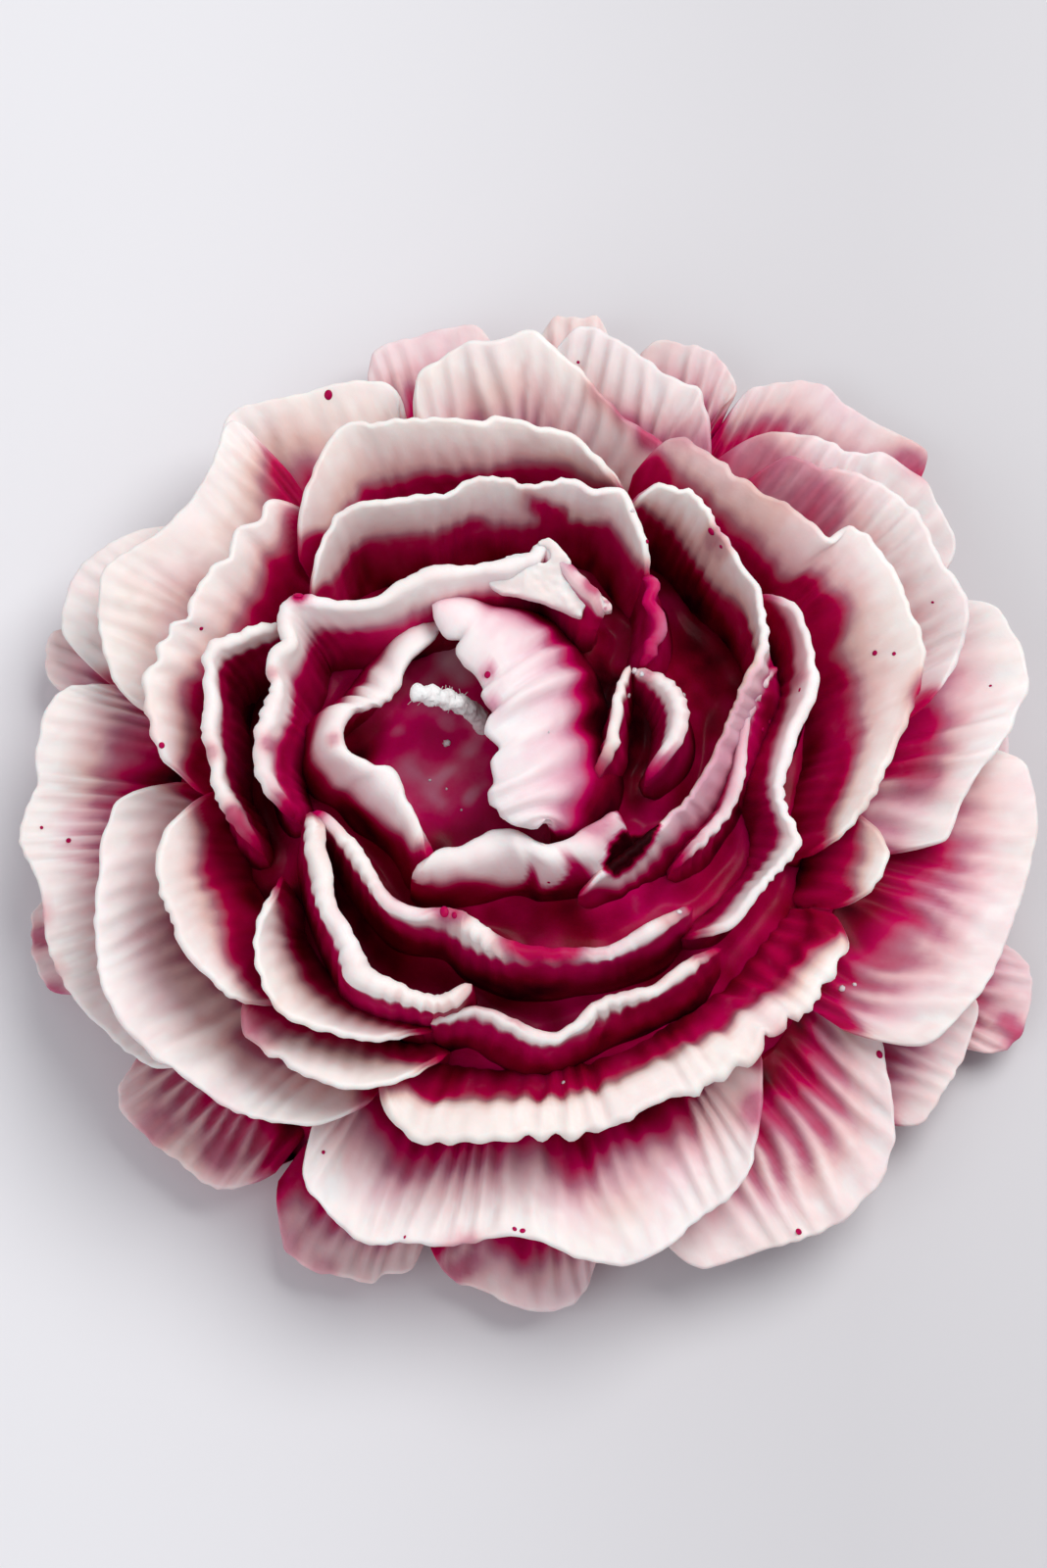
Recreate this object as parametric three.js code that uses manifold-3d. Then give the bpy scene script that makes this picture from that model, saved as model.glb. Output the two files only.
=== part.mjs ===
// A candle in the shape of an open peony.
// Separate wax petals stand on a dyed wax core, each with its foot cut to the core's dome, in six
// whorls that open from an upright heart to a low skirt. A braided wick runs up through the core
// from a metal sustainer in the base, and leans over the bowl between the heart petals.
// Lengths are in millimetres, angles in degrees, and +Z is up from the table.
import * as THREE from 'three';
import { mergeVertices } from 'three/addons/utils/BufferGeometryUtils.js';
import Module from 'manifold-3d';

const wasm = await Module();
wasm.setup();

// Driving sizes of the whole flower
const flowerReach = 62;
const flowerHeight = 43;
const seatClearance = 0.3;
const cutOverrun = 2;

// The core: a dome of dyed wax that carries every petal, as shares of the flower's reach and height
const coreReachShare = 0.79;
const coreHeightShare = 0.73;
const coreReach = flowerReach * coreReachShare;
const coreHeight = flowerHeight * coreHeightShare;
const footAllowance = 2;

// The wick and its metal foot
const wickDiameter = 2.3;
const wickStandXShare = -0.068;
const wickStandYShare = 0.074;
const wickStandX = flowerReach * wickStandXShare;
const wickStandY = flowerReach * wickStandYShare;
const wickTipReach = 8.2;
const wickTipRise = 8.6;
const wickBendRise = 2.6;
const sustainerDiameter = 15;
const sustainerThickness = 0.5;
const sustainerNeckDiameter = 4.2;
const sustainerNeckHeight = 5;
const sustainerRecess = 0.8;

// The middles of the innermost whorls, which sit off the flower's own axis
const heartXShare = -0.156;
const heartYShare = 0.023;
const innerXShare = -0.102;
const innerYShare = 0.01;
const heartX = flowerReach * heartXShare;
const heartY = flowerReach * heartYShare;
const innerX = flowerReach * innerXShare;
const innerY = flowerReach * innerYShare;

// Petal walls, ribs and ruffles
const petalRootThickness = 3.2;
const petalRimThickness = 1.2;
const ribPitch = 8;
const ribDepth = 0.34;
const ruffleDepth = 0.9;
const rufflePitch = 17;

// How far the rims of the upright whorls reach out past their roots, the rings that the roots of
// the open whorls stand on, and how far the walls of each whorl belly out
const heartOverhang = -3;
const innerOverhang = 1.8;
const crownOverhang = 4.6;
const collarRootShare = 0.69;
const guardRootShare = 0.79;
const skirtRootShare = 0.92;
const collarRootReach = coreReach * collarRootShare;
const guardRootReach = coreReach * guardRootShare;
const skirtRootReach = coreReach * skirtRootShare;
const heartBelly = 1.4;
const innerBelly = 0.4;
const crownBelly = 0.6;
const collarBelly = 0.5;
const guardBelly = 1.5;
const skirtBelly = 0.6;

// Counts and plain ratios
const coreSides = 30;
const coreRings = 6;
const wickSides = 8;
const wickSteps = 16;
const wallRows = 3;
const guardWallRows = 4;
const leastRibs = 3;
const columnsPerRib = 2;
const domeRoundness = 2.6;
const turn = 360;
const quarters = 4;
const half = 0.5;

// Wax and metal colours
const creamWax = { color: 0xf3e7e3, roughness: 0.38, metalness: 0 };
const blushWax = { color: 0xdba9b8, roughness: 0.38, metalness: 0 };
const dyedWax = { color: 0x7d0a35, roughness: 0.34, metalness: 0 };
const cottonWick = { color: 0xf6f0ea, roughness: 0.9, metalness: 0 };
const tinnedSteel = { color: 0xb9bcc0, roughness: 0.35, metalness: 1 };

// Each whorl, from the heart outwards. A petal covers an arc of its whorl, from its first to its
// last azimuth. reachShares are the distances of its rim from the whorl's middle at even places
// along that arc, as shares of the flower's reach. heightShares are the heights of its rim at its
// two ends and its middle, as shares of the flower's height.
const whorls = [
  {
    name: 'heart', x: heartX, y: heartY,
    overhang: heartOverhang, belly: heartBelly, wax: creamWax,
    petals: {
      right: {
        arc: [-40, 86], overhangShare: 3.9, endTaperShare: 0.5, bellyShare: 2.4,
        reachShares: [0.16, 0.11, 0.1, 0.1, 0.11, 0.13, 0.19], heightShares: [0.93, 0.99, 0.95],
      },
      left: {
        arc: [96, 264],
        reachShares: [0.18, 0.13, 0.12, 0.17, 0.1, 0.1, 0.18], heightShares: [0.88, 0.9, 0.88],
      },
      front: {
        arc: [268, 335], overhangShare: 1.5, bellyShare: 1.5,
        reachShares: [0.2, 0.19, 0.2, 0.26, 0.31], heightShares: [0.88, 0.9, 0.89],
      },
    },
  },
  {
    name: 'inner', x: innerX, y: innerY,
    overhang: innerOverhang, belly: innerBelly, wax: blushWax,
    petals: {
      back: {
        arc: [50, 197], overhangShare: 2.3,
        reachShares: [0.37, 0.37, 0.33, 0.33, 0.4, 0.37, 0.36], heightShares: [0.97, 0.99, 0.93],
      },
      torn: {
        arc: [25, 44], overhangShare: 0.2,
        reachShares: [0.36, 0.38, 0.4, 0.42, 0.43], heightShares: [0.93, 0.95, 0.95],
      },
      fold_near: {
        arc: [-13, 22], overhangShare: 0.3,
        reachShares: [0.25, 0.28, 0.29, 0.3, 0.32], heightShares: [0.9, 0.94, 0.93],
      },
      fold_far: {
        arc: [-9, 22], overhangShare: 0.5,
        reachShares: [0.36, 0.39, 0.4, 0.4, 0.37], heightShares: [0.9, 0.95, 0.94],
      },
      front_near: {
        arc: [205, 326], overhangShare: -0.8,
        reachShares: [0.29, 0.3, 0.33, 0.33, 0.38, 0.43, 0.47], heightShares: [0.93, 0.93, 0.88],
      },
      front_far: {
        arc: [203, 272], overhangShare: 0.3,
        reachShares: [0.33, 0.36, 0.4, 0.44, 0.49, 0.5, 0.46], heightShares: [0.92, 0.9, 0.85],
      },
    },
  },
  {
    name: 'crown', x: innerX, y: innerY,
    overhang: crownOverhang, belly: crownBelly, wax: creamWax,
    petals: {
      back: {
        arc: [46, 136],
        reachShares: [0.49, 0.55, 0.52, 0.49, 0.48, 0.48, 0.44], heightShares: [0.92, 0.95, 0.9],
      },
      right: {
        arc: [-53, 57],
        reachShares: [0.36, 0.36, 0.4, 0.48, 0.57, 0.61, 0.58], heightShares: [0.83, 0.91, 0.92],
      },
      left: {
        arc: [146, 204], overhangShare: 0.5,
        reachShares: [0.42, 0.48, 0.49, 0.47, 0.45, 0.44, 0.43], heightShares: [0.9, 0.88, 0.84],
      },
      right_inner: {
        arc: [-35, 21], overhangShare: 0.35,
        reachShares: [0.43, 0.46, 0.49, 0.5, 0.51, 0.56, 0.62], heightShares: [0.84, 0.86, 0.81],
      },
      right_outer: {
        arc: [-39, 27], overhangShare: 0.5,
        reachShares: [0.55, 0.57, 0.58, 0.58, 0.61, 0.67, 0.71], heightShares: [0.77, 0.82, 0.77],
      },
      front: {
        arc: [261, 323], overhangShare: 0.1,
        reachShares: [0.5, 0.51, 0.54, 0.54, 0.56, 0.57, 0.58], heightShares: [0.79, 0.79, 0.77],
      },
    },
  },
  {
    name: 'collar', x: 0, y: 0,
    rootReach: collarRootReach, followShare: 0.3, belly: collarBelly, wax: creamWax,
    petals: {
      back: {
        arc: [69, 135],
        reachShares: [0.58, 0.61, 0.65, 0.66, 0.7, 0.66, 0.61], heightShares: [0.79, 0.83, 0.79],
      },
      back_left: {
        arc: [128, 183],
        reachShares: [0.67, 0.67, 0.69, 0.69, 0.7, 0.68, 0.64], heightShares: [0.76, 0.79, 0.74],
      },
      right: {
        arc: [-17, 70],
        reachShares: [0.59, 0.66, 0.74, 0.77, 0.72, 0.69, 0.7], heightShares: [0.7, 0.76, 0.72],
      },
      left: {
        arc: [183, 224],
        reachShares: [0.61, 0.65, 0.69, 0.7, 0.7, 0.68, 0.66], heightShares: [0.76, 0.76, 0.72],
      },
      left_front: {
        arc: [204, 250], rootShare: 0.93,
        reachShares: [0.49, 0.55, 0.6, 0.62, 0.61, 0.58, 0.54], heightShares: [0.81, 0.81, 0.77],
      },
      front_left: {
        arc: [219, 254],
        reachShares: [0.7, 0.7, 0.69, 0.69, 0.66, 0.62, 0.58], heightShares: [0.69, 0.7, 0.69],
      },
      front: {
        arc: [244, 335],
        reachShares: [0.66, 0.7, 0.68, 0.66, 0.66, 0.68, 0.7], heightShares: [0.64, 0.65, 0.66],
      },
      front_right: {
        arc: [337, 353],
        reachShares: [0.69, 0.69, 0.69, 0.66, 0.64], heightShares: [0.68, 0.7, 0.68],
      },
    },
  },
  {
    name: 'guard', x: 0, y: 0,
    rootReach: guardRootReach, followShare: 0.15, belly: guardBelly, rows: guardWallRows, wax: creamWax,
    petals: {
      back: {
        arc: [61, 106], rootShare: 0.97,
        reachShares: [0.68, 0.71, 0.75, 0.81, 0.87, 0.84, 0.76], heightShares: [0.57, 0.6, 0.56],
      },
      back_right: {
        arc: [60, 88], rootShare: 1.05,
        reachShares: [0.8, 0.85, 0.88, 0.9, 0.93, 0.94, 0.9], heightShares: [0.4, 0.41, 0.4],
      },
      right_high: {
        arc: [9, 55], rootShare: 0.97,
        reachShares: [0.75, 0.83, 0.88, 0.89, 0.89, 0.84, 0.77], heightShares: [0.56, 0.58, 0.53],
      },
      right_back: {
        arc: [27, 61], rootShare: 1.05,
        reachShares: [0.96, 0.98, 1, 0.97, 0.92, 0.88, 0.83], heightShares: [0.35, 0.37, 0.35],
      },
      right: {
        arc: [-10, 26],
        reachShares: [0.74, 0.82, 0.87, 0.93, 0.98, 0.98, 0.96], heightShares: [0.44, 0.44, 0.4],
      },
      right_front: {
        arc: [-36, 8],
        reachShares: [0.85, 0.9, 0.94, 0.95, 0.96, 0.96, 0.94], heightShares: [0.39, 0.37, 0.3],
      },
      front_right: {
        arc: [287, 330], rootShare: 1.05,
        reachShares: [0.89, 0.94, 0.96, 0.97, 0.95, 0.86, 0.72], heightShares: [0.24, 0.27, 0.33],
      },
      front: {
        arc: [237, 311],
        reachShares: [0.77, 0.88, 0.86, 0.86, 0.89, 0.83, 0.71], heightShares: [0.44, 0.44, 0.47],
      },
      left_front: {
        arc: [181, 244], rootShare: 0.97,
        reachShares: [0.69, 0.79, 0.84, 0.86, 0.83, 0.78, 0.72], heightShares: [0.6, 0.58, 0.56],
      },
      left: {
        arc: [163, 221], rootShare: 1.05,
        reachShares: [0.84, 0.92, 0.94, 0.93, 0.92, 0.88, 0.82], heightShares: [0.4, 0.39, 0.37],
      },
      left_back: {
        arc: [126, 170], rootShare: 0.97,
        reachShares: [0.9, 0.87, 0.84, 0.88, 0.87, 0.81, 0.71], heightShares: [0.51, 0.55, 0.51],
      },
      back_left: {
        arc: [106, 134], rootShare: 1.05,
        reachShares: [0.83, 0.88, 0.91, 0.93, 0.88], heightShares: [0.42, 0.42, 0.4],
      },
      left_back_low: {
        arc: [137, 164], rootShare: 1.05,
        reachShares: [0.89, 0.91, 0.94, 0.96, 0.96, 0.94, 0.89], heightShares: [0.3, 0.3, 0.28],
      },
    },
  },
  {
    name: 'skirt', x: 0, y: 0,
    rootReach: skirtRootReach, followShare: 0, belly: skirtBelly, wax: blushWax,
    petals: {
      back_left: {
        arc: [88, 128],
        reachShares: [0.92, 0.98, 0.99, 0.97, 0.88, 0.84, 0.8], heightShares: [0.2, 0.21, 0.2],
      },
      back: {
        arc: [72, 97],
        reachShares: [0.9, 1, 1.01, 1, 0.9], heightShares: [0.17, 0.19, 0.17],
      },
      back_right: {
        arc: [60, 84], rootShare: 0.95,
        reachShares: [0.88, 0.97, 0.99, 0.98, 0.92], heightShares: [0.2, 0.22, 0.2],
      },
      right_back: {
        arc: [31, 66],
        reachShares: [0.9, 1, 1.06, 1.05, 1.05, 1, 0.92], heightShares: [0.13, 0.18, 0.18],
      },
      right: {
        arc: [-11, 33],
        reachShares: [0.82, 0.88, 0.92, 0.94, 0.92, 0.9, 0.84], heightShares: [0.16, 0.18, 0.15],
      },
      right_front: {
        arc: [325, 352],
        reachShares: [0.88, 0.99, 1.02, 0.99, 0.87], heightShares: [0.11, 0.12, 0.11],
      },
      front_right: {
        arc: [287, 331],
        reachShares: [0.78, 0.84, 0.88, 0.92, 0.95, 0.95, 0.91], heightShares: [0.17, 0.18, 0.18],
      },
      front: {
        arc: [257, 289],
        reachShares: [0.82, 0.9, 0.93, 0.94, 0.91, 0.84, 0.78], heightShares: [0.12, 0.16, 0.14],
      },
      front_left: {
        arc: [233, 263],
        reachShares: [0.83, 0.91, 0.94, 0.94, 0.91, 0.84, 0.78], heightShares: [0.16, 0.17, 0.14],
      },
      left_front: {
        arc: [206, 240],
        reachShares: [0.82, 0.91, 0.94, 0.94, 0.92, 0.9, 0.86], heightShares: [0.19, 0.21, 0.19],
      },
      left: {
        arc: [178, 212],
        reachShares: [0.84, 0.92, 0.96, 0.96, 0.93, 0.88, 0.82], heightShares: [0.11, 0.12, 0.11],
      },
      left_back: {
        arc: [140, 176],
        reachShares: [0.8, 0.88, 0.96, 0.98, 0.95, 0.88, 0.82], heightShares: [0.15, 0.17, 0.15],
      },
    },
  },
];

// The shape of a petal's wall between its root and its rim
const wallControlOutShare = 0.22;
const wallControlUpShare = 0.72;
const cornerDropShare = 0.3;
const cornerPower = 6;
const slopeShare = 0.01;
const plainEndTaperShare = 0.4;

const radians = (degrees) => THREE.MathUtils.degToRad(degrees);

// The height of the dome over a point of the base
function coreTop(x, y) {
  const outShare = Math.min(Math.hypot(x, y) / coreReach, 1);
  return coreHeight * (1 - outShare ** domeRoundness);
}

// A smooth curve through values at even places, read at a share of its length. Past its ends it
// runs on straight.
function smoothValue(values, share) {
  const curve = new THREE.SplineCurve(values.map((value) => new THREE.Vector2(value, 0)));
  const inside = THREE.MathUtils.clamp(share, 0, 1);
  const before = Math.max(inside - slopeShare, 0);
  const after = Math.min(inside + slopeShare, 1);
  const slope = (curve.getPoint(after).x - curve.getPoint(before).x) / (after - before);
  return curve.getPoint(inside).x + slope * (share - inside);
}

// The mean reach of a petal's rim
function meanReach(petal) {
  const total = petal.reachShares.reduce((sum, share) => sum + share, 0);
  return flowerReach * total / petal.reachShares.length;
}

// A point on the middle of a petal's wall. along runs from 0 to 1 round the arc, and up from 0 at
// the root to 1 at the rim. The point is in the petal's own frame, with +X towards the petal's
// middle, and is worked out in the flower's frame, because the root follows the dome.
function wallPoint(whorl, petal, along, up) {
  const [from, to] = petal.arc;
  const azimuth = radians(from + (to - from) * along);
  const belly = whorl.belly * (petal.bellyShare ?? 1);
  const endTaper = petal.endTaperShare ?? plainEndTaperShare;
  const fromMiddle = Math.min(Math.abs(2 * along - 1), 1);
  const rimReach = flowerReach * smoothValue(petal.reachShares, along);
  const rimHeight = flowerHeight * smoothValue(petal.heightShares, along);
  const overhang = (whorl.overhang ?? 0) * (petal.overhangShare ?? 1) * (1 - endTaper * fromMiddle);
  const ring = (whorl.rootReach ?? 0) * (petal.rootShare ?? 1);
  const follow = (rimReach - meanReach(petal)) * (whorl.followShare ?? 0);
  const rootReach = whorl.rootReach === undefined ? rimReach - overhang : ring + follow;
  const rootX = whorl.x + rootReach * Math.cos(azimuth);
  const rootY = whorl.y + rootReach * Math.sin(azimuth);
  const rootHeight = coreTop(rootX, rootY) - footAllowance;
  const bendReach = rootReach + (rimReach - rootReach) * wallControlOutShare + belly;
  const bendHeight = rootHeight + (rimHeight - rootHeight) * wallControlUpShare + belly;
  const section = new THREE.QuadraticBezierCurve(
    new THREE.Vector2(rootReach, rootHeight),
    new THREE.Vector2(bendReach, bendHeight),
    new THREE.Vector2(rimReach, rimHeight),
  );
  const corner = cornerDropShare * fromMiddle ** cornerPower;
  const [reach, height] = section.getPoint(up * (1 - corner)).toArray();
  const arcLength = radians(to - from) * rimReach;
  const ruffle = ruffleDepth * Math.sin((turn * arcLength / rufflePitch) * radians(along)) * up ** 2;
  return new THREE.Vector3(
    (reach + ruffle) * Math.cos(azimuth),
    (reach + ruffle) * Math.sin(azimuth),
    height,
  );
}

// The length of a petal's rim round its arc, which sets how many ribs it has
function rimLength(petal) {
  return radians(petal.arc[1] - petal.arc[0]) * meanReach(petal);
}

// A petal as a closed wall, with a ridge on every second column. spare makes it thicker and longer
// on every side, for cutting its neighbours.
function petalGeometry(whorl, petal, rows, spare, ribHeight) {
  const ribs = Math.max(leastRibs, Math.round(rimLength(petal) / ribPitch));
  const columns = ribs * columnsPerRib;
  const length = rimLength(petal);
  const wallHeight = flowerHeight - coreHeight;
  const alongSpare = spare / length;
  const upSpare = spare / wallHeight;
  const middle = radians((petal.arc[0] + petal.arc[1]) * half);
  const step = 1 / columns;
  const faces = [[], []];
  for (let column = 0; column <= columns; column += 1) {
    const along = -alongSpare + (1 + 2 * alongSpare) * column * step;
    for (let row = 0; row <= rows; row += 1) {
      const up = -upSpare + (1 + 2 * upSpare) * row / rows;
      const point = wallPoint(whorl, petal, along, up);
      const left = wallPoint(whorl, petal, along - step * half, up);
      const right = wallPoint(whorl, petal, along + step * half, up);
      const below = wallPoint(whorl, petal, along, up - half / rows);
      const above = wallPoint(whorl, petal, along, up + half / rows);
      const outwards = right.sub(left).cross(above.sub(below)).normalize();
      const crest = column % columnsPerRib === 0 ? -1 : 1;
      const rib = ribHeight * crest * Math.min(Math.max(up, 0) / half, 1);
      const thickness = THREE.MathUtils.lerp(petalRootThickness, petalRimThickness, up) * half + spare;
      point.addScaledVector(outwards, rib);
      for (const [side, sign] of [[0, 1], [1, -1]]) {
        const corner = point.clone().addScaledVector(outwards, thickness * sign);
        faces[side].push(corner.applyAxisAngle(new THREE.Vector3(0, 0, 1), -middle));
      }
    }
  }
  const place = (side, column, row) => (side * (columns + 1) + column) * (rows + 1) + row;
  const index = [];
  const quad = (a, b, c, d) => index.push(a, b, c, a, c, d);
  for (let column = 0; column < columns; column += 1) {
    for (let row = 0; row < rows; row += 1) {
      const next = column + 1;
      quad(place(0, column, row), place(0, next, row), place(0, next, row + 1), place(0, column, row + 1));
      quad(place(1, column, row), place(1, column, row + 1), place(1, next, row + 1), place(1, next, row));
    }
    const next = column + 1;
    quad(place(0, column, 0), place(1, column, 0), place(1, next, 0), place(0, next, 0));
    quad(place(0, column, rows), place(0, next, rows), place(1, next, rows), place(1, column, rows));
  }
  for (let row = 0; row < rows; row += 1) {
    quad(place(0, 0, row), place(0, 0, row + 1), place(1, 0, row + 1), place(1, 0, row));
    const end = columns;
    quad(place(0, end, row), place(1, end, row), place(1, end, row + 1), place(0, end, row + 1));
  }
  const geometry = new THREE.BufferGeometry().setFromPoints([...faces[0], ...faces[1]]);
  geometry.setIndex(index);
  return geometry;
}

// A solid for cutting, in the flower's frame
function toSolid(geometry, matrix) {
  const bare = geometry.clone().applyMatrix4(matrix);
  bare.deleteAttribute('normal');
  bare.deleteAttribute('uv');
  const merged = mergeVertices(bare);
  return new wasm.Manifold(new wasm.Mesh({
    numProp: 3,
    vertProperties: new Float32Array(merged.attributes.position.array),
    triVerts: new Uint32Array(merged.index.array),
  }));
}

// The largest body of a cut solid, back in a frame of its own
function toGeometry(solid, matrix) {
  const [largest] = solid.decompose().sort((a, b) => b.volume() - a.volume());
  const mesh = largest.getMesh();
  const geometry = new THREE.BufferGeometry();
  geometry.setAttribute('position', new THREE.BufferAttribute(mesh.vertProperties, 3));
  geometry.setIndex(new THREE.BufferAttribute(mesh.triVerts, 1));
  return geometry.applyMatrix4(matrix.clone().invert());
}

function namedMesh(name, geometry, finish) {
  geometry.computeVertexNormals();
  const mesh = new THREE.Mesh(geometry, new THREE.MeshStandardMaterial(finish));
  mesh.name = name;
  return mesh;
}

// The core's dome over its flat base. spare makes it larger on every side, for cutting the feet
// of the petals.
function domeGeometry(spare) {
  const profile = [new THREE.Vector2(0, -spare)];
  for (let ring = 0; ring <= coreRings; ring += 1) {
    const outShare = Math.cos(radians(turn / quarters) * ring / coreRings);
    const rise = coreTop(coreReach * outShare, 0);
    profile.push(new THREE.Vector2(coreReach * outShare + spare, ring === 0 ? -spare : rise + spare));
  }
  profile[profile.length - 1].setX(0);
  return new THREE.LatheGeometry(profile, coreSides).rotateX(Math.PI * half);
}

// The petals, whorl by whorl. Each one is cut to the dome, and gives way to those seated inside it
const flower = new THREE.Group();
flower.name = 'peony_candle';
const seated = [];
const noTurn = new THREE.Matrix4();
const footCut = toSolid(domeGeometry(seatClearance), noTurn);
for (const whorl of whorls) {
  const rows = whorl.rows ?? wallRows;
  const group = new THREE.Group();
  group.position.set(whorl.x, whorl.y, 0);
  flower.add(group);
  for (const [side, petal] of Object.entries(whorl.petals)) {
    const name = `${whorl.name}_petal_${side}`;
    const azimuth = radians((petal.arc[0] + petal.arc[1]) * half);
    const mesh = namedMesh(name, petalGeometry(whorl, petal, rows, 0, ribDepth), whorl.wax);
    mesh.rotation.z = azimuth;
    group.add(mesh);
    flower.updateMatrixWorld(true);
    let solid = toSolid(mesh.geometry, mesh.matrixWorld).subtract(footCut);
    for (const grown of seated) {
      if (solid.intersect(grown).volume() > 0) {
        solid = solid.subtract(grown);
      }
    }
    mesh.geometry = toGeometry(solid, mesh.matrixWorld);
    mesh.geometry.computeVertexNormals();
    const grown = petalGeometry(whorl, petal, rows, seatClearance, ribDepth);
    seated.push(toSolid(grown, mesh.matrixWorld));
  }
}

// The wick stands in a bore of the core, then bends towards the heart's left petal
const wickStand = new THREE.Vector3(wickStandX, wickStandY, 0);
const boreTop = coreTop(wickStandX, wickStandY);
const wickRadius = wickDiameter * half;
const leaning = (out, rise) => new THREE.Vector3(
  wickStandX - out,
  wickStandY + out / quarters,
  boreTop + rise,
);
const wickPath = new THREE.CatmullRomCurve3([
  wickStand.clone().setZ(sustainerRecess + sustainerThickness + seatClearance),
  wickStand.clone().setZ(boreTop * half),
  wickStand.clone().setZ(boreTop - wickRadius),
  wickStand.clone().setZ(boreTop + seatClearance),
  leaning(wickBendRise * half, wickBendRise),
  leaning(wickTipReach, wickTipRise),
]);
const wickSection = new THREE.Shape();
wickSection.absarc(0, 0, wickRadius, 0, 2 * Math.PI);
const wickGeometry = new THREE.ExtrudeGeometry(wickSection, {
  steps: wickSteps, curveSegments: wickSides * half, extrudePath: wickPath,
});
flower.add(namedMesh('wick', wickGeometry, cottonWick));

// The sustainer: a thin round plate with a crimped neck round the wick
const plateTop = sustainerRecess + sustainerThickness;
const neckTop = plateTop + sustainerNeckHeight;
const neckRadius = sustainerNeckDiameter * half;
const neckBore = wickRadius + seatClearance;
const sustainerProfile = [
  [0, sustainerRecess],
  [sustainerDiameter * half, sustainerRecess],
  [sustainerDiameter * half, plateTop],
  [neckRadius, plateTop],
  [neckRadius, neckTop],
  [neckBore, neckTop],
  [neckBore, plateTop],
  [0, plateTop],
].map(([radius, height]) => new THREE.Vector2(radius, height));
const plate = new THREE.LatheGeometry(sustainerProfile, coreSides * half).rotateX(Math.PI * half);
const sustainer = namedMesh('wick_sustainer', plate, tinnedSteel);
sustainer.position.set(wickStandX, wickStandY, 0);
flower.add(sustainer);

// The core's bore and recess, cut from below
function drill(radius, top) {
  const height = top + cutOverrun;
  const cut = new THREE.CylinderGeometry(radius, radius, height, coreSides * half);
  cut.rotateX(Math.PI * half);
  cut.translate(wickStandX, wickStandY, top - height * half);
  return toSolid(cut, noTurn);
}
let core = toSolid(domeGeometry(0), noTurn);
core = core.subtract(drill(wickRadius + seatClearance, coreHeight + cutOverrun));
core = core.subtract(drill(neckRadius + seatClearance, neckTop + seatClearance));
core = core.subtract(drill(sustainerDiameter * half + seatClearance, plateTop + seatClearance));
flower.add(namedMesh('wax_core', toGeometry(core, noTurn), dyedWax));

// The origin is on the table, under the middle of the flower's outline
const outline = new THREE.Box3().setFromObject(flower);
const outlineMiddle = outline.getCenter(new THREE.Vector3());
flower.position.set(-outlineMiddle.x, -outlineMiddle.y, 0);

export default flower;
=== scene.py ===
# %% [markdown]
# # A peony candle in two waxes
#
# The real candle is cast from cream wax and deep magenta wax in a soft mould. The cream wax fills
# the rims of the petals, and the magenta wax fills the hollows, and where they meet they blur.
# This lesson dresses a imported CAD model. The CAD gives the sizes and places of all the pieces, and
# here each petal gets its fine ribs, its ragged rim and its stain.

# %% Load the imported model
import math

import bpy
import numpy as np
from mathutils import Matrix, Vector
from mathutils.bvhtree import BVHTree
from mathutils.kdtree import KDTree


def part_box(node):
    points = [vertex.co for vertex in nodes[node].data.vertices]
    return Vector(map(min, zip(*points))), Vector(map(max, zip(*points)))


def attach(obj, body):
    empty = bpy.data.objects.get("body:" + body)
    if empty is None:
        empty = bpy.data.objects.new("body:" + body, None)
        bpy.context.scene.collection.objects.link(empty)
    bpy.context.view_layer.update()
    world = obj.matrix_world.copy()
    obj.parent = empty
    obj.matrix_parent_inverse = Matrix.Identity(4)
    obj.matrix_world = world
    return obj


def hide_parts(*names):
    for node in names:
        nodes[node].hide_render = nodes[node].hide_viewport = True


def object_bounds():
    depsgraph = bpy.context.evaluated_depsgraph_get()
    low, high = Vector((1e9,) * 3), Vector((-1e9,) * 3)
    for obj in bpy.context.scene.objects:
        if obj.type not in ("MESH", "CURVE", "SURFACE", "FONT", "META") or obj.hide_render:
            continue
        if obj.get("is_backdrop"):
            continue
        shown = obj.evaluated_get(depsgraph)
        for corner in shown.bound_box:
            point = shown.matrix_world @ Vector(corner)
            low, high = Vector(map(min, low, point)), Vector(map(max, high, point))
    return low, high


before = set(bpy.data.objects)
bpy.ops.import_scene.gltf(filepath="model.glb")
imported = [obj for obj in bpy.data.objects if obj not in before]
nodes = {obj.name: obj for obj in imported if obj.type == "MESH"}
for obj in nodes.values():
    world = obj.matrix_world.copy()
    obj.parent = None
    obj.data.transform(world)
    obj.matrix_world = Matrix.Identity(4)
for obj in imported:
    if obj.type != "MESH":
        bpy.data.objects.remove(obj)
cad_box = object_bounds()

MM = 0.001

# %% [markdown]
# The petals grow round the flower's own axis, which isn't quite the middle of its outline. The
# core is round, so the middle of its box is that axis.

# %% Find the flower's axis
core_low, core_high = (np.array(corner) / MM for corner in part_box("wax_core"))
axis = (core_low[:2] + core_high[:2]) / 2
core_reach = (core_high[0] - core_low[0]) / 2
core_height = core_high[2]
axis_point = np.array([*axis, 0])
print("axis", axis.round(2), "core reach", round(core_reach, 1), "height", round(core_height, 1))

# %% [markdown]
# Everything is deselected before a piece is started, because an operator acts on all that is
# selected. A new primitive comes selected and active, and gets its name from us.

# %% Helpers for starting a piece
def start_clean():
    if bpy.context.object and bpy.context.object.mode != "OBJECT":
        bpy.ops.object.mode_set(mode="OBJECT")
    bpy.ops.object.select_all(action="DESELECT")


def new_piece(name):
    piece = bpy.context.object
    piece.name = name
    piece.data.name = name
    return piece


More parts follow.
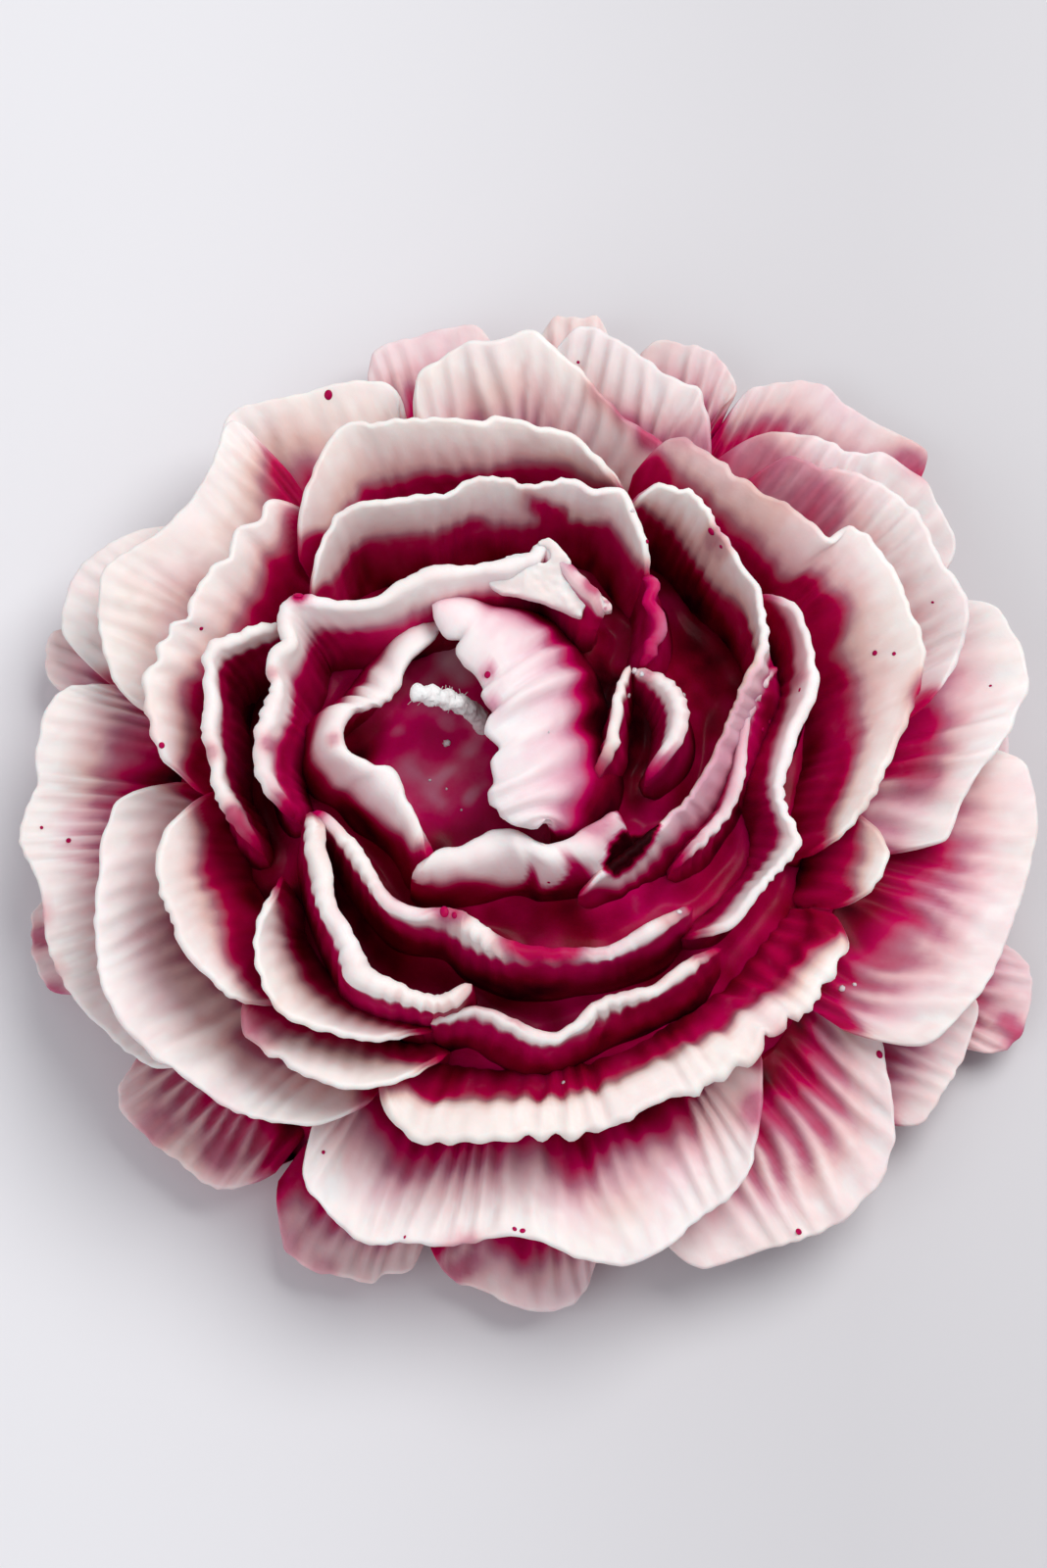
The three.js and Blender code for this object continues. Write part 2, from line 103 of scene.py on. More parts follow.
def in_edit_mode(piece, *steps):
    start_clean()
    piece.select_set(True)
    bpy.context.view_layer.objects.active = piece
    bpy.ops.object.mode_set(mode="EDIT")
    bpy.ops.mesh.select_all(action="SELECT")
    for step in steps:
        step()
    bpy.ops.object.mode_set(mode="OBJECT")


def finish_piece(piece, material, node=None):
    piece.data.materials.clear()
    piece.data.materials.append(material)
    for polygon in piece.data.polygons:
        polygon.use_smooth = True
    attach(piece, "root")
    if node:
        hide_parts(node)
    return piece


# %% [markdown]
# ## The camera
#
# The photograph looks down on the flower from about 76 degrees above the table, from half a metre
# away with a long lens. The camera comes first, so that each later piece can be judged in its
# frame.

# %% The camera
VIEW_ELEVATION = math.radians(76)
VIEW_DISTANCE = 520
AIM_HEIGHT = 24
FOCAL_PIXELS = 4632
IMAGE_HEIGHT = 1600
SENSOR_HEIGHT = 36

aim = Vector((axis[0], axis[1], AIM_HEIGHT)) * MM
back = Vector((0, -math.cos(VIEW_ELEVATION), math.sin(VIEW_ELEVATION)))
camera_data = bpy.data.cameras.new("camera")
camera_data.sensor_fit = "VERTICAL"
camera_data.sensor_height = SENSOR_HEIGHT
camera_data.lens = FOCAL_PIXELS / IMAGE_HEIGHT * SENSOR_HEIGHT
camera = bpy.data.objects.new("camera", camera_data)
camera.location = aim + back * VIEW_DISTANCE * MM
camera.rotation_euler = (-back).to_track_quat("-Z", "Y").to_euler()
bpy.context.scene.collection.objects.link(camera)
bpy.context.scene.camera = camera
print("camera at", [round(value, 3) for value in camera.location])
print("lens", round(camera_data.lens, 1))

# %% [markdown]
# ## The stain of a petal
#
# Where cream wax gives way to magenta is a matter of depth: the rims are cream and the hollows are
# dyed. Each petal therefore carries two numbers at every vertex. Its dye goes from 0 for clean cream
# to 1 for wine red that is nearly black, and the dark end of it is painted shade: the wine red at
# the feet of the walls and the black of a deep hole. Its blush says through which tints the one wax
# turns into the other: 0 is beige, where the cream is thick, and 1 is pink, where the two waxes have
# mixed. The material turns the numbers into a colour through two ramps, and blurs its edge with fine
# noise. Light goes a little way into wax, so the shader has some subsurface scattering, and the skin
# is smooth enough for soft highlights. A painted texture would need an unwrapped map for every
# petal, and values at the vertices need none.

# %% Helpers for node materials
FIRST_COLOUR, SECOND_COLOUR, MIXED_COLOUR = 6, 7, 2


def feed(tree, node, inputs):
    for key, value in dict(inputs).items():
        if isinstance(value, bpy.types.NodeSocket):
            tree.links.new(value, node.inputs[key])
        else:
            node.inputs[key].default_value = value
    return node


def add(tree, kind, inputs=(), **settings):
    node = tree.nodes.new(kind)
    for key, value in settings.items():
        setattr(node, key, value)
    return feed(tree, node, inputs)


def add_math(tree, operation, first, second=0.0, clamp=False):
    inputs = {0: first, 1: second}
    return add(tree, "ShaderNodeMath", inputs, operation=operation, use_clamp=clamp).outputs[0]


def add_noise(tree, place, scale, detail, roughness):
    inputs = {"Vector": place, "Scale": scale, "Detail": detail, "Roughness": roughness}
    return add(tree, "ShaderNodeTexNoise", inputs).outputs["Fac"]


def add_range(tree, value, given=(0, 1), to=(0, 1), **settings):
    inputs = {"Value": value, "From Min": given[0], "From Max": given[1]}
    inputs.update({"To Min": to[0], "To Max": to[1]})
    return add(tree, "ShaderNodeMapRange", inputs, **settings).outputs[0]


def add_mix(tree, factor, first, second, **settings):
    inputs = {"Factor": factor, FIRST_COLOUR: first, SECOND_COLOUR: second}
    mix = add(tree, "ShaderNodeMix", inputs, data_type="RGBA", **settings)
    return mix.outputs[MIXED_COLOUR]


def add_ramp(tree, factor, stops):
    ramp = add(tree, "ShaderNodeValToRGB", {"Fac": factor})
    elements = ramp.color_ramp.elements
    while len(elements) < len(stops):
        elements.new(0.5)
    for element, (place, colour) in zip(elements, stops):
        element.position = place
        element.color = (*colour, 1)
    return ramp.outputs["Color"]


def new_material(name):
    material = bpy.data.materials.new(name)
    material.use_nodes = True
    tree = material.node_tree
    return material, tree, add(tree, "ShaderNodeTexCoord").outputs["Object"]


def shade_with(tree, inputs):
    feed(tree, tree.nodes["Principled BSDF"], inputs)


print("the helpers leave", len(bpy.data.materials), "materials so far")

# %% The two-wax material
# The last stop, a nearly black wine, is painted shade: the dye comes near it at the painted feet of
# the walls and in a deep hole.
SHADE_BLACK_WINE = (0.02, 0.0005, 0.002)
RED_STOPS = [(0.60, (0.46, 0.001, 0.065)), (0.84, (0.22, 0.0005, 0.014)), (1.0, SHADE_BLACK_WINE)]
MAGENTA_STOPS = [(0.60, (0.56, 0.001, 0.11)), (0.84, (0.25, 0.0005, 0.024)), (1.0, SHADE_BLACK_WINE)]
BEIGE_STOPS = [(0.0, (0.94, 0.875, 0.84)), (0.20, (0.77, 0.56, 0.51)), (0.40, (0.46, 0.19, 0.23))]
PINK_STOPS = [(0.0, (0.93, 0.845, 0.85)), (0.20, (0.80, 0.51, 0.59)), (0.40, (0.58, 0.18, 0.30))]
WAX_CLOUD, WAX_GRAIN, WAX_MOTTLE = (420, 4.0, 0.6), (2600, 3.0, 0.6), (90, 3.0, 0.55)
EDGE_NOISE = 0.22
EDGE_FADE = 1.5
MOTTLE_SPAN, MOTTLE_TONES = (0.3, 0.7), (0.93, 1.04)
GLOSS_DOWN, GLOSS_UP = 0.06, 0.08
CLOUD_BUMP, GRAIN_BUMP = 0.7, 0.15


def wax_material(name, roughness, scatter):
    material, tree, place = new_material(name)
    # The dye attribute carries the dye, and at its dark end painted shade.
    dye_and_shade = add(tree, "ShaderNodeAttribute", attribute_name="dye_and_shade").outputs["Fac"]
    blush = add(tree, "ShaderNodeAttribute", attribute_name="blush").outputs["Fac"]
    cloud = add_noise(tree, place, *WAX_CLOUD)
    grain = add_noise(tree, place, *WAX_GRAIN)
    mottle = add_noise(tree, place, *WAX_MOTTLE)
    shift = add_math(tree, "MULTIPLY", add_math(tree, "SUBTRACT", cloud, 0.5), EDGE_NOISE)
    strength = add_math(tree, "MULTIPLY", dye_and_shade, add_math(tree, "SUBTRACT", EDGE_FADE, dye_and_shade))
    shift = add_math(tree, "MULTIPLY", shift, strength)
    shifted_dye_and_shade = add_math(tree, "ADD", dye_and_shade, shift, clamp=True)
    beige = add_ramp(tree, shifted_dye_and_shade, BEIGE_STOPS + RED_STOPS)
    pink = add_ramp(tree, shifted_dye_and_shade, PINK_STOPS + MAGENTA_STOPS)
    colour = add_mix(tree, blush, beige, pink)
    tone = add_range(tree, mottle, MOTTLE_SPAN, MOTTLE_TONES)
    cloud_bump = add_math(tree, "MULTIPLY", cloud, CLOUD_BUMP)
    grain_bump = add_math(tree, "MULTIPLY", grain, GRAIN_BUMP)
    height = add_math(tree, "ADD", cloud_bump, grain_bump)
    bump = add(tree, "ShaderNodeBump", {"Height": height, "Strength": 0.25, "Distance": 0.0004})
    shade_with(tree, {
        "Base Color": add_mix(tree, 1.0, colour, tone, blend_type="MULTIPLY"),
        "Roughness": add_range(tree, grain, to=(roughness - GLOSS_DOWN, roughness + GLOSS_UP)),
        "Normal": bump.outputs[0],
        "Subsurface Weight": scatter,
        "Subsurface Radius": (1.0, 0.35, 0.3),
        "Subsurface Scale": 0.0016,
        "IOR": 1.44,
        "Specular IOR Level": 0.08,
    })
    return material


petal_wax = wax_material("petal_wax", roughness=0.36, scatter=0.45)
core_wax = wax_material("core_wax", roughness=0.28, scatter=0.25)
print("materials", [material.name for material in (petal_wax, core_wax)])

# %% [markdown]
# ## The rims
#
# A petal is known by its rim. Each rim below is a line of points in millimetres from the flower's
# axis, read off the photograph in order round the flower, with the rim's height at its one end,
# its middle and its other end. With it goes how wide the cream wax is on the wall's two faces,
# where it changes along the petal. The whorls are the same as in the CAD model: the heart round
# the wick's bowl, the inner and crown whorls, the collar, the guard petals and the low skirt.

# %% The rims of the petals
RIMS = {}


def rim(name, heights, points, **widths):
    RIMS[name] = {"heights": heights, "rim": points, **widths}


rim("heart_right", (41, 42.5, 40), [
    (1.9, -9.8), (-0.3, -9.5), (-2.2, -8.5), (-3.0, -7.3), (-3.5, -6.4), (-3.8, -5.3),
    (-3.6, -4.8), (-3.1, -3.9), (-3.6, -2.8), (-3.8, -1.7), (-3.4, -1.0), (-2.8, -0.2),
    (-3.7, 0.8), (-4.3, 1.9), (-4.0, 2.7), (-3.5, 3.6), (-3.6, 4.3), (-4.3, 4.9), (-4.9, 5.8),
    (-4.6, 6.5), (-4.7, 7.4), (-5.5, 8.6), (-6.5, 9.3), (-7.3, 10.2), (-7.7, 11.2), (-7.3, 11.9),
    (-6.9, 12.5), (-7.6, 12.6), (-8.6, 12.8), (-9.6, 13.7), (-10.7, 14.9),
], outer_cream=(2.9, 4.7, 6.8, 8.9, 10.4, 11.3, 11.6, 11.1, 9.9, 8.4, 7.1, 6.0, 5.2, 4.7), foot=[
    (3.1, -8.6), (6.4, -7.2), (8.4, -4.5), (8.8, -0.9), (8.3, 3.1), (7.5, 6.9), (6.4, 10.6),
    (4.5, 13.6), (1.6, 16.0), (-2.5, 17.8), (-6.6, 18.5), (-10.5, 18.5),
])
rim("heart_left", (38, 38.7, 38), [
    (-9.2, 13.1), (-10.6, 12.1), (-12.2, 11.0), (-13.1, 9.6), (-13.7, 8.0), (-14.7, 6.4),
    (-16.1, 5.2), (-18.0, 4.5), (-19.5, 3.8), (-20.1, 2.7), (-19.8, 1.2), (-18.8, 0.1),
    (-17.4, -0.5), (-15.9, -1.0), (-14.7, -1.9), (-13.7, -3.1), (-12.9, -4.6), (-12.0, -6.5),
    (-10.9, -8.6), (-9.6, -10.7),
], outer_cream=(4.2, 4.7, 4.5, 3.4, 2.4, 3.4, 5.2, 5.8, 4.2, 2.4, 1.1))
rim("heart_front", (38, 38.7, 38.5), [
    (-12.2, -11.7), (-10.8, -11.1), (-9.5, -10.8), (-7.3, -10.7), (-6.1, -10.2), (-5.0, -9.7),
    (-3.7, -9.1), (-2.2, -8.9), (-1.0, -8.9), (-0.1, -9.4), (1.6, -10.4), (3.4, -10.4),
    (5.0, -10.0), (6.3, -9.2), (7.4, -8.3), (8.3, -7.0), (8.7, -5.9),
], outer_cream=(0.4, 2.1, 3.4, 4.7, 6.5, 6.0, 5.0, 4.5, 3.9, 2.6, 1.1))
rim("inner_back", (41.7, 42.5, 40), [
    (9.8, 15.9), (8.8, 17.5), (7.0, 19.0), (5.3, 21.0), (3.9, 22.4), (3.1, 23.8), (2.0, 23.6),
    (0.7, 22.2), (-1.0, 21.8), (-2.4, 21.1), (-4.3, 20.9), (-6.5, 20.6), (-10.3, 20.2),
    (-12.5, 19.3), (-14.7, 18.2), (-16.8, 17.0), (-20.1, 16.7), (-22.3, 17.1), (-24.7, 17.4),
    (-26.0, 17.1), (-27.1, 16.1), (-27.4, 14.7), (-27.1, 13.1), (-26.8, 11.9), (-28.4, 10.5),
    (-28.8, 9.0), (-28.2, 7.0), (-28.6, 5.2), (-29.5, 2.3), (-29.9, -0.8), (-29.6, -3.0),
    (-28.5, -5.4), (-27.3, -7.6),
], inner_cream=(
    0.4, 0.4, 0.4, 1.9, 2.4, 2.6, 3.2, 3.4, 3.9, 4.7, 5.5, 5.2, 3.9, 2.6, 1.6, 0.8, 0.4,
))
rim("inner_torn", (40, 41, 40.5), [
    (12.7, 9.9), (13.5, 11.5), (14.3, 13.9), (13.9, 16.7), (14.0, 18.8), (13.3, 20.8),
])
rim("inner_fold_near", (40, 40.4, 38.7), [
    (8.2, -3.3), (9.5, -1.8), (10.5, 0.2), (10.8, 2.7), (11.1, 5.7), (11.6, 7.8), (12.5, 9.9),
], inner_cream=(0.4, 0.4, 0.8, 1.1, 0.8, 0.4), outer_cream=(0.4, 0.4, 0.6, 0.8, 0.8, 0.6))
rim("inner_fold_far", (40.4, 40.8, 38.7), [
    (14.2, -3.4), (15.5, -1.9), (17.0, -0.2), (17.9, 1.7), (18.1, 4.3), (17.4, 6.6), (16.1, 8.4),
    (14.4, 9.4), (12.7, 10.2),
], inner_cream=(0.8, 1.9, 2.1, 1.6, 1.3, 0.8), outer_cream=(0.4, 0.4, 0.4, 0.4, 0.4, 0.4))
rim("inner_front_near", (39.5, 40, 38), [
    (-23.0, -6.1), (-21.3, -7.0), (-19.8, -8.9), (-18.2, -10.6), (-16.7, -13.1), (-15.5, -15.4),
    (-13.9, -17.2), (-11.2, -18.0), (-8.5, -18.0), (-6.4, -18.7), (-4.2, -20.5), (-2.0, -21.7),
    (1.7, -22.4), (6.0, -22.3), (9.3, -22.0), (12.5, -20.3), (15.8, -18.2), (18.2, -16.5),
], inner_cream=(0.4, 0.6, 0.6, 0.6, 0.6, 0.6, 0.4, 0.4, 0.6, 0.8, 0.6), outer_cream=(
    0.4, 0.8, 1.3, 2.4, 2.6, 2.4, 1.6, 1.1, 0.8, 0.8, 0.4,
))
rim("inner_front_far", (39.6, 38.7, 36.5), [
    (-24.6, -6.4), (-24.1, -9.0), (-24.1, -11.4), (-23.4, -13.8), (-23.1, -16.6), (-22.4, -18.8),
    (-20.9, -21.0), (-20.1, -23.1), (-19.2, -25.8), (-17.2, -27.1), (-14.5, -27.9), (-11.8, -28.9),
    (-9.6, -29.3), (-6.9, -28.5), (-5.1, -26.8),
], inner_cream=(0.4, 0.6, 0.8, 1.1, 1.9, 2.4, 2.1, 1.6, 0.8), outer_cream=(
    1.1, 2.1, 2.6, 2.1, 1.1, 0.8, 0.8, 0.8, 0.4,
))
rim("crown_back", (39.6, 41, 38.7), [
    (15.3, 19.9), (14.6, 22.2), (13.6, 25.0), (12.4, 27.9), (11.4, 30.1), (9.5, 30.3), (7.8, 30.1),
    (6.3, 31.1), (4.5, 31.4), (2.3, 30.9), (-0.2, 30.7), (-1.5, 31.4), (-3.8, 31.6), (-6.0, 31.3),
    (-7.4, 30.6), (-8.7, 29.7), (-11.5, 29.5), (-14.8, 29.0), (-17.0, 28.8), (-19.0, 28.6),
    (-20.7, 27.7), (-21.9, 26.3), (-23.1, 23.8), (-24.1, 21.3), (-25.4, 18.8),
], inner_cream=(0.8, 3.4, 5.5, 7.3, 7.6, 6.8, 6.5, 6.0, 3.9))
rim("crown_right", (35.7, 40, 39.6), [
    (6.3, -15.7), (9.6, -13.2), (13.2, -10.5), (15.9, -8.2), (18.1, -6.2), (20.3, -3.3),
    (21.9, -0.1), (23.6, 3.5), (25.3, 7.5), (26.8, 10.5), (27.3, 13.0), (27.1, 15.3), (26.7, 18.2),
    (26.0, 19.6), (24.9, 20.8), (23.8, 23.1), (22.7, 24.7), (21.7, 26.1), (21.1, 27.9),
    (20.1, 29.1), (18.9, 30.3), (17.3, 30.6), (15.0, 31.3), (13.1, 30.9), (11.7, 29.7),
], inner_cream=(0.4, 0.6, 1.3, 2.6, 4.5, 5.8, 6.0, 6.8, 7.6, 6.5, 3.2))
rim("crown_left", (38.7, 37.8, 36), [
    (-27.4, 15.4), (-30.1, 14.9), (-32.9, 13.6), (-35.0, 12.8), (-35.8, 11.5), (-35.9, 8.9),
    (-35.6, 5.6), (-35.9, 3.4), (-35.7, 1.2), (-35.1, -0.6), (-34.8, -3.2), (-33.8, -5.4),
    (-32.7, -7.0), (-31.6, -9.0), (-30.6, -10.4),
], inner_cream=(2.2, 3.2, 2.4, 1.1, 1.1, 1.3, 1.6, 1.1, 0.4))
rim("crown_right_inner", (36, 37, 35), [
    (17.2, -12.9), (20.5, -9.6), (23.1, -6.5), (24.7, -2.3), (25.1, 0.8), (25.5, 3.7), (26.5, 7.1),
    (28.0, 9.7), (29.6, 11.8),
], inner_cream=(0.4, 0.6, 0.8, 1.1, 0.8, 0.4))
rim("crown_right_outer", (33, 35.3, 33), [
    (19.0, -20.6), (21.4, -19.8), (23.6, -18.6), (25.8, -16.0), (28.0, -13.5), (29.7, -11.6),
    (30.9, -9.6), (30.7, -7.8), (29.4, -5.2), (29.2, -2.8), (29.9, 0.1), (31.0, 3.6), (32.7, 7.1),
    (33.2, 10.0), (32.9, 13.3), (32.3, 15.9), (31.3, 18.2), (29.6, 20.0), (27.8, 21.7),
], inner_cream=(0.6, 2.1, 3.4, 2.6, 1.6, 1.6, 2.4, 3.4, 3.4, 1.9, 0.4))
rim("crown_front", (34, 34, 33), [
    (-10.2, -30.1), (-8.0, -29.5), (-5.9, -28.9), (-3.7, -29.5), (-1.5, -30.6), (1.2, -31.8),
    (3.7, -32.0), (6.1, -30.7), (7.7, -29.0), (9.6, -27.9), (12.6, -27.2), (15.0, -26.4),
    (17.2, -24.7), (20.3, -22.6), (22.5, -20.8),
], inner_cream=(0.4, 0.6, 0.8, 0.6, 0.4, 0.4), outer_cream=(0.6, 1.6, 2.6, 2.1, 1.1, 0.4))
rim("collar_back", (34, 35.7, 34), [
    (13.2, 32.2), (12.1, 33.1), (10.3, 34.5), (8.7, 35.7), (7.4, 37.1), (6.3, 38.1), (4.6, 38.9),
    (1.8, 39.4), (-1.0, 40.3), (-3.2, 40.5), (-4.9, 39.9), (-8.3, 40.3), (-11.6, 40.1),
    (-15.0, 40.1), (-17.2, 39.7), (-19.3, 40.0), (-21.1, 39.3), (-22.3, 37.9), (-23.4, 36.0),
    (-24.5, 33.1), (-26.1, 29.7), (-27.8, 26.8),
], inner_cream=(1.1, 2.6, 4.2, 6.0, 7.6, 8.4, 8.6, 7.1, 3.5))
rim("collar_back_left", (33, 34, 32), [
    (-25.1, 33.0), (-27.3, 32.5), (-28.7, 31.8), (-29.5, 30.6), (-30.4, 28.4), (-32.6, 27.6),
    (-33.3, 25.8), (-33.9, 24.0), (-35.8, 22.8), (-36.5, 21.1), (-37.6, 19.5), (-37.9, 17.9),
    (-39.3, 16.4), (-41.0, 14.7), (-41.5, 12.7), (-42.6, 10.8), (-42.9, 9.1), (-42.8, 7.5),
    (-42.0, 5.2), (-41.6, 2.4), (-40.9, 0.0), (-39.9, -2.7),
], inner_cream=(1.6, 2.9, 4.8, 5.5, 5.8, 5.8, 5.2, 3.7, 1.9))
rim("collar_left", (32.7, 32.7, 31), [
    (-38.0, -2.2), (-38.6, -3.9), (-39.6, -6.1), (-40.6, -8.4), (-41.1, -11.2), (-40.8, -14.0),
    (-40.1, -16.0), (-39.1, -18.2), (-38.4, -20.4), (-37.1, -22.3), (-35.4, -24.2), (-33.4, -26.1),
    (-31.9, -27.3), (-30.4, -28.3), (-28.3, -28.8),
], inner_cream=(1.6, 4.2, 5.5, 5.8, 5.0, 3.9, 2.6, 1.1))
rim("collar_left_front", (35, 35, 33), [
    (-27.7, -12.7), (-28.3, -14.8), (-29.3, -17.4), (-30.0, -19.6), (-30.0, -21.8), (-29.6, -24.0),
    (-28.7, -26.2), (-28.0, -27.7), (-26.9, -29.0), (-25.4, -29.8), (-23.2, -30.6), (-20.5, -31.2),
    (-17.8, -31.8), (-14.6, -31.8), (-10.4, -31.2),
], inner_cream=(0.4, 2.9, 5.5, 6.3, 6.0, 5.2, 4.2, 2.6, 0.6))
rim("collar_front_left", (30, 30, 30), [
    (-33.8, -26.1), (-33.5, -27.7), (-32.1, -29.1), (-31.4, -30.4), (-29.8, -31.1), (-28.7, -32.5),
    (-27.2, -33.0), (-25.6, -34.3), (-23.4, -35.4), (-21.7, -36.0), (-20.4, -36.6), (-18.3, -36.7),
    (-14.6, -36.1), (-11.4, -35.2), (-9.0, -34.0),
], inner_cream=(0.4, 2.4, 3.9, 4.7, 5.2, 4.7, 2.9, 0.6))
rim("collar_front", (27.5, 28, 28.4), [
    (-18.2, -36.2), (-17.1, -37.9), (-15.8, -39.2), (-14.1, -40.4), (-12.5, -41.8), (-11.3, -42.4),
    (-9.5, -42.0), (-7.8, -42.4), (-6.2, -41.9), (-4.8, -42.4), (-3.1, -41.9), (-1.5, -42.2),
    (0.1, -41.5), (1.7, -41.9), (3.9, -41.5), (6.1, -41.6), (7.8, -40.7), (9.4, -41.0),
    (10.7, -39.9), (12.1, -39.8), (13.2, -38.8), (15.1, -38.0), (16.6, -37.0), (18.2, -37.0),
    (19.5, -36.5), (20.6, -35.2), (22.2, -35.1), (23.7, -33.4), (25.3, -33.4), (26.6, -32.0),
    (27.1, -30.2), (28.1, -30.5), (29.3, -29.4), (29.8, -28.4), (31.1, -28.2), (32.6, -26.6),
    (33.5, -24.9), (34.5, -23.7), (35.9, -21.6), (38.2, -19.3), (39.2, -17.4),
], inner_cream=(2.2, 3.9, 4.7, 5.0, 4.7, 4.5, 3.9, 3.4, 2.6, 1.6, 0.6))
rim("collar_front_right", (29.2, 30, 29.2), [
    (38.8, -16.9), (39.4, -14.8), (40.0, -12.8), (40.9, -11.1), (41.2, -9.2), (40.6, -7.1),
    (40.1, -5.4), (39.6, -3.4),
], inner_cream=(1.1, 2.4, 2.4, 0.8))
rim("collar_right", (31, 32.7, 30), [
    (34.3, -10.4), (36.0, -8.8), (37.1, -6.9), (38.3, -5.0), (39.7, -3.0), (40.6, -0.7),
    (41.5, 0.9), (42.5, 3.2), (43.4, 5.2), (44.1, 7.1), (44.9, 8.9), (45.5, 11.7), (45.5, 14.3),
    (44.8, 16.3), (43.9, 18.4), (43.1, 20.8), (42.0, 23.2), (40.5, 25.4), (39.5, 27.1),
    (38.3, 28.1), (37.2, 28.5), (36.2, 27.9), (35.3, 27.0), (34.4, 27.4), (33.2, 28.6),
    (31.5, 29.9), (30.2, 31.3), (29.0, 31.8), (27.4, 32.6), (26.0, 34.0), (24.3, 34.8),
    (23.2, 36.1), (21.5, 37.3), (19.9, 38.5), (17.6, 40.4), (16.0, 41.5), (14.3, 40.9),
], inner_cream=(1.9, 3.7, 5.2, 7.1, 8.4, 8.7, 7.4, 6.1, 5.0, 4.2, 2.9))
rim("guard_back", (24, 25.8, 24), [
    (20.5, 36.0), (19.0, 38.2), (16.7, 40.4), (14.4, 42.1), (12.2, 43.4), (10.5, 45.4),
    (8.9, 47.0), (7.3, 49.1), (5.3, 50.7), (3.0, 52.7), (1.6, 54.0), (0.1, 54.3), (-1.4, 53.7),
    (-3.3, 53.1), (-6.2, 53.3), (-8.5, 52.2), (-10.7, 50.7), (-12.7, 49.3), (-13.5, 47.2),
    (-14.1, 44.6),
])
rim("guard_back_right", (17.2, 17.6, 17.2), [
    (23.9, 41.6), (23.3, 43.5), (22.5, 45.2), (21.7, 47.7), (20.8, 50.0), (19.3, 50.5),
    (17.0, 51.7), (14.7, 53.5), (12.3, 55.2), (9.6, 56.9), (7.7, 57.8), (4.2, 57.5), (1.3, 56.9),
])
rim("guard_right_high", (24, 25, 23), [
    (45.7, 6.7), (47.3, 9.0), (48.6, 11.6), (49.8, 14.2), (50.8, 16.8), (51.4, 19.7), (51.0, 22.0),
    (49.9, 24.3), (48.3, 26.2), (47.2, 29.0), (46.0, 31.9), (44.3, 33.8), (42.3, 35.4),
    (40.6, 36.4), (38.4, 37.4), (36.3, 37.8), (34.4, 38.1), (32.2, 39.3), (30.1, 39.9),
    (27.9, 39.6), (26.1, 39.2),
])
rim("guard_right_back", (15, 16, 15), [
    (54.1, 28.1), (52.4, 30.7), (50.7, 33.1), (49.4, 35.6), (48.0, 38.8), (46.0, 40.3),
    (43.9, 41.8), (41.9, 42.6), (40.2, 42.5), (38.1, 42.7), (36.4, 43.7), (34.7, 44.4),
    (32.7, 45.0), (29.8, 45.4), (26.6, 45.4), (23.7, 45.4),
])
rim("guard_right", (19, 19, 17.2), [
    (43.4, -7.9), (46.0, -6.9), (48.3, -5.9), (49.4, -4.3), (50.6, -1.3), (51.9, 1.2), (54.2, 4.2),
    (56.3, 7.0), (57.1, 9.4), (58.5, 11.8), (58.9, 14.3), (58.3, 17.4), (57.0, 20.3), (55.8, 22.9),
    (54.6, 25.6), (53.6, 27.6),
])
rim("guard_right_front", (16.8, 16, 13), [
    (41.6, -31.0), (44.8, -30.0), (47.3, -28.3), (49.7, -26.1), (51.9, -23.7), (53.6, -21.4),
    (55.0, -18.5), (56.1, -15.5), (56.9, -13.2), (58.0, -10.3), (58.9, -7.3), (59.8, -3.5),
    (59.8, 0.1), (59.2, 3.6), (58.5, 6.8), (57.4, 9.6),
])
rim("guard_front_right", (10.3, 11.6, 14), [
    (15.1, -53.4), (18.3, -54.2), (20.9, -53.8), (24.3, -52.9), (27.6, -51.8), (31.0, -51.0),
    (34.2, -49.6), (36.6, -48.4), (38.9, -46.3), (41.2, -43.5), (42.6, -40.2), (42.9, -37.8),
    (42.5, -33.5), (41.9, -30.6), (41.3, -27.6), (39.7, -24.4), (37.8, -21.2),
])
rim("guard_front", (19, 19, 20), [
    (-25.3, -38.7), (-25.5, -41.1), (-25.2, -44.1), (-24.4, -46.2), (-23.0, -47.9), (-21.3, -49.6),
    (-19.8, -50.8), (-18.5, -51.9), (-16.4, -52.4), (-14.0, -52.1), (-11.5, -52.2), (-9.3, -52.4),
    (-7.1, -52.3), (-4.9, -51.9), (-2.7, -51.3), (-0.1, -51.4), (2.3, -52.1), (4.5, -53.2),
    (6.4, -54.0), (8.9, -54.4), (11.2, -54.7), (13.4, -54.1), (15.6, -53.0), (17.5, -51.6),
    (19.5, -49.7), (21.3, -48.3), (23.3, -47.1), (24.8, -45.4), (25.9, -43.5), (26.5, -40.7),
    (27.0, -37.9), (27.8, -35.2), (29.1, -32.5),
])
rim("guard_left_front", (25.8, 25, 24), [
    (-41.3, 0.7), (-43.9, -0.4), (-46.2, -2.1), (-47.5, -5.0), (-48.1, -7.3), (-48.2, -10.7),
    (-48.5, -14.1), (-48.5, -17.5), (-48.3, -20.9), (-47.8, -23.7), (-46.8, -25.6), (-45.2, -28.3),
    (-43.4, -30.1), (-41.6, -32.0), (-39.5, -33.3), (-37.3, -34.9), (-35.2, -36.6), (-32.7, -38.0),
    (-30.2, -38.9), (-27.4, -39.5), (-24.5, -39.7), (-21.4, -39.7), (-18.3, -39.1),
])
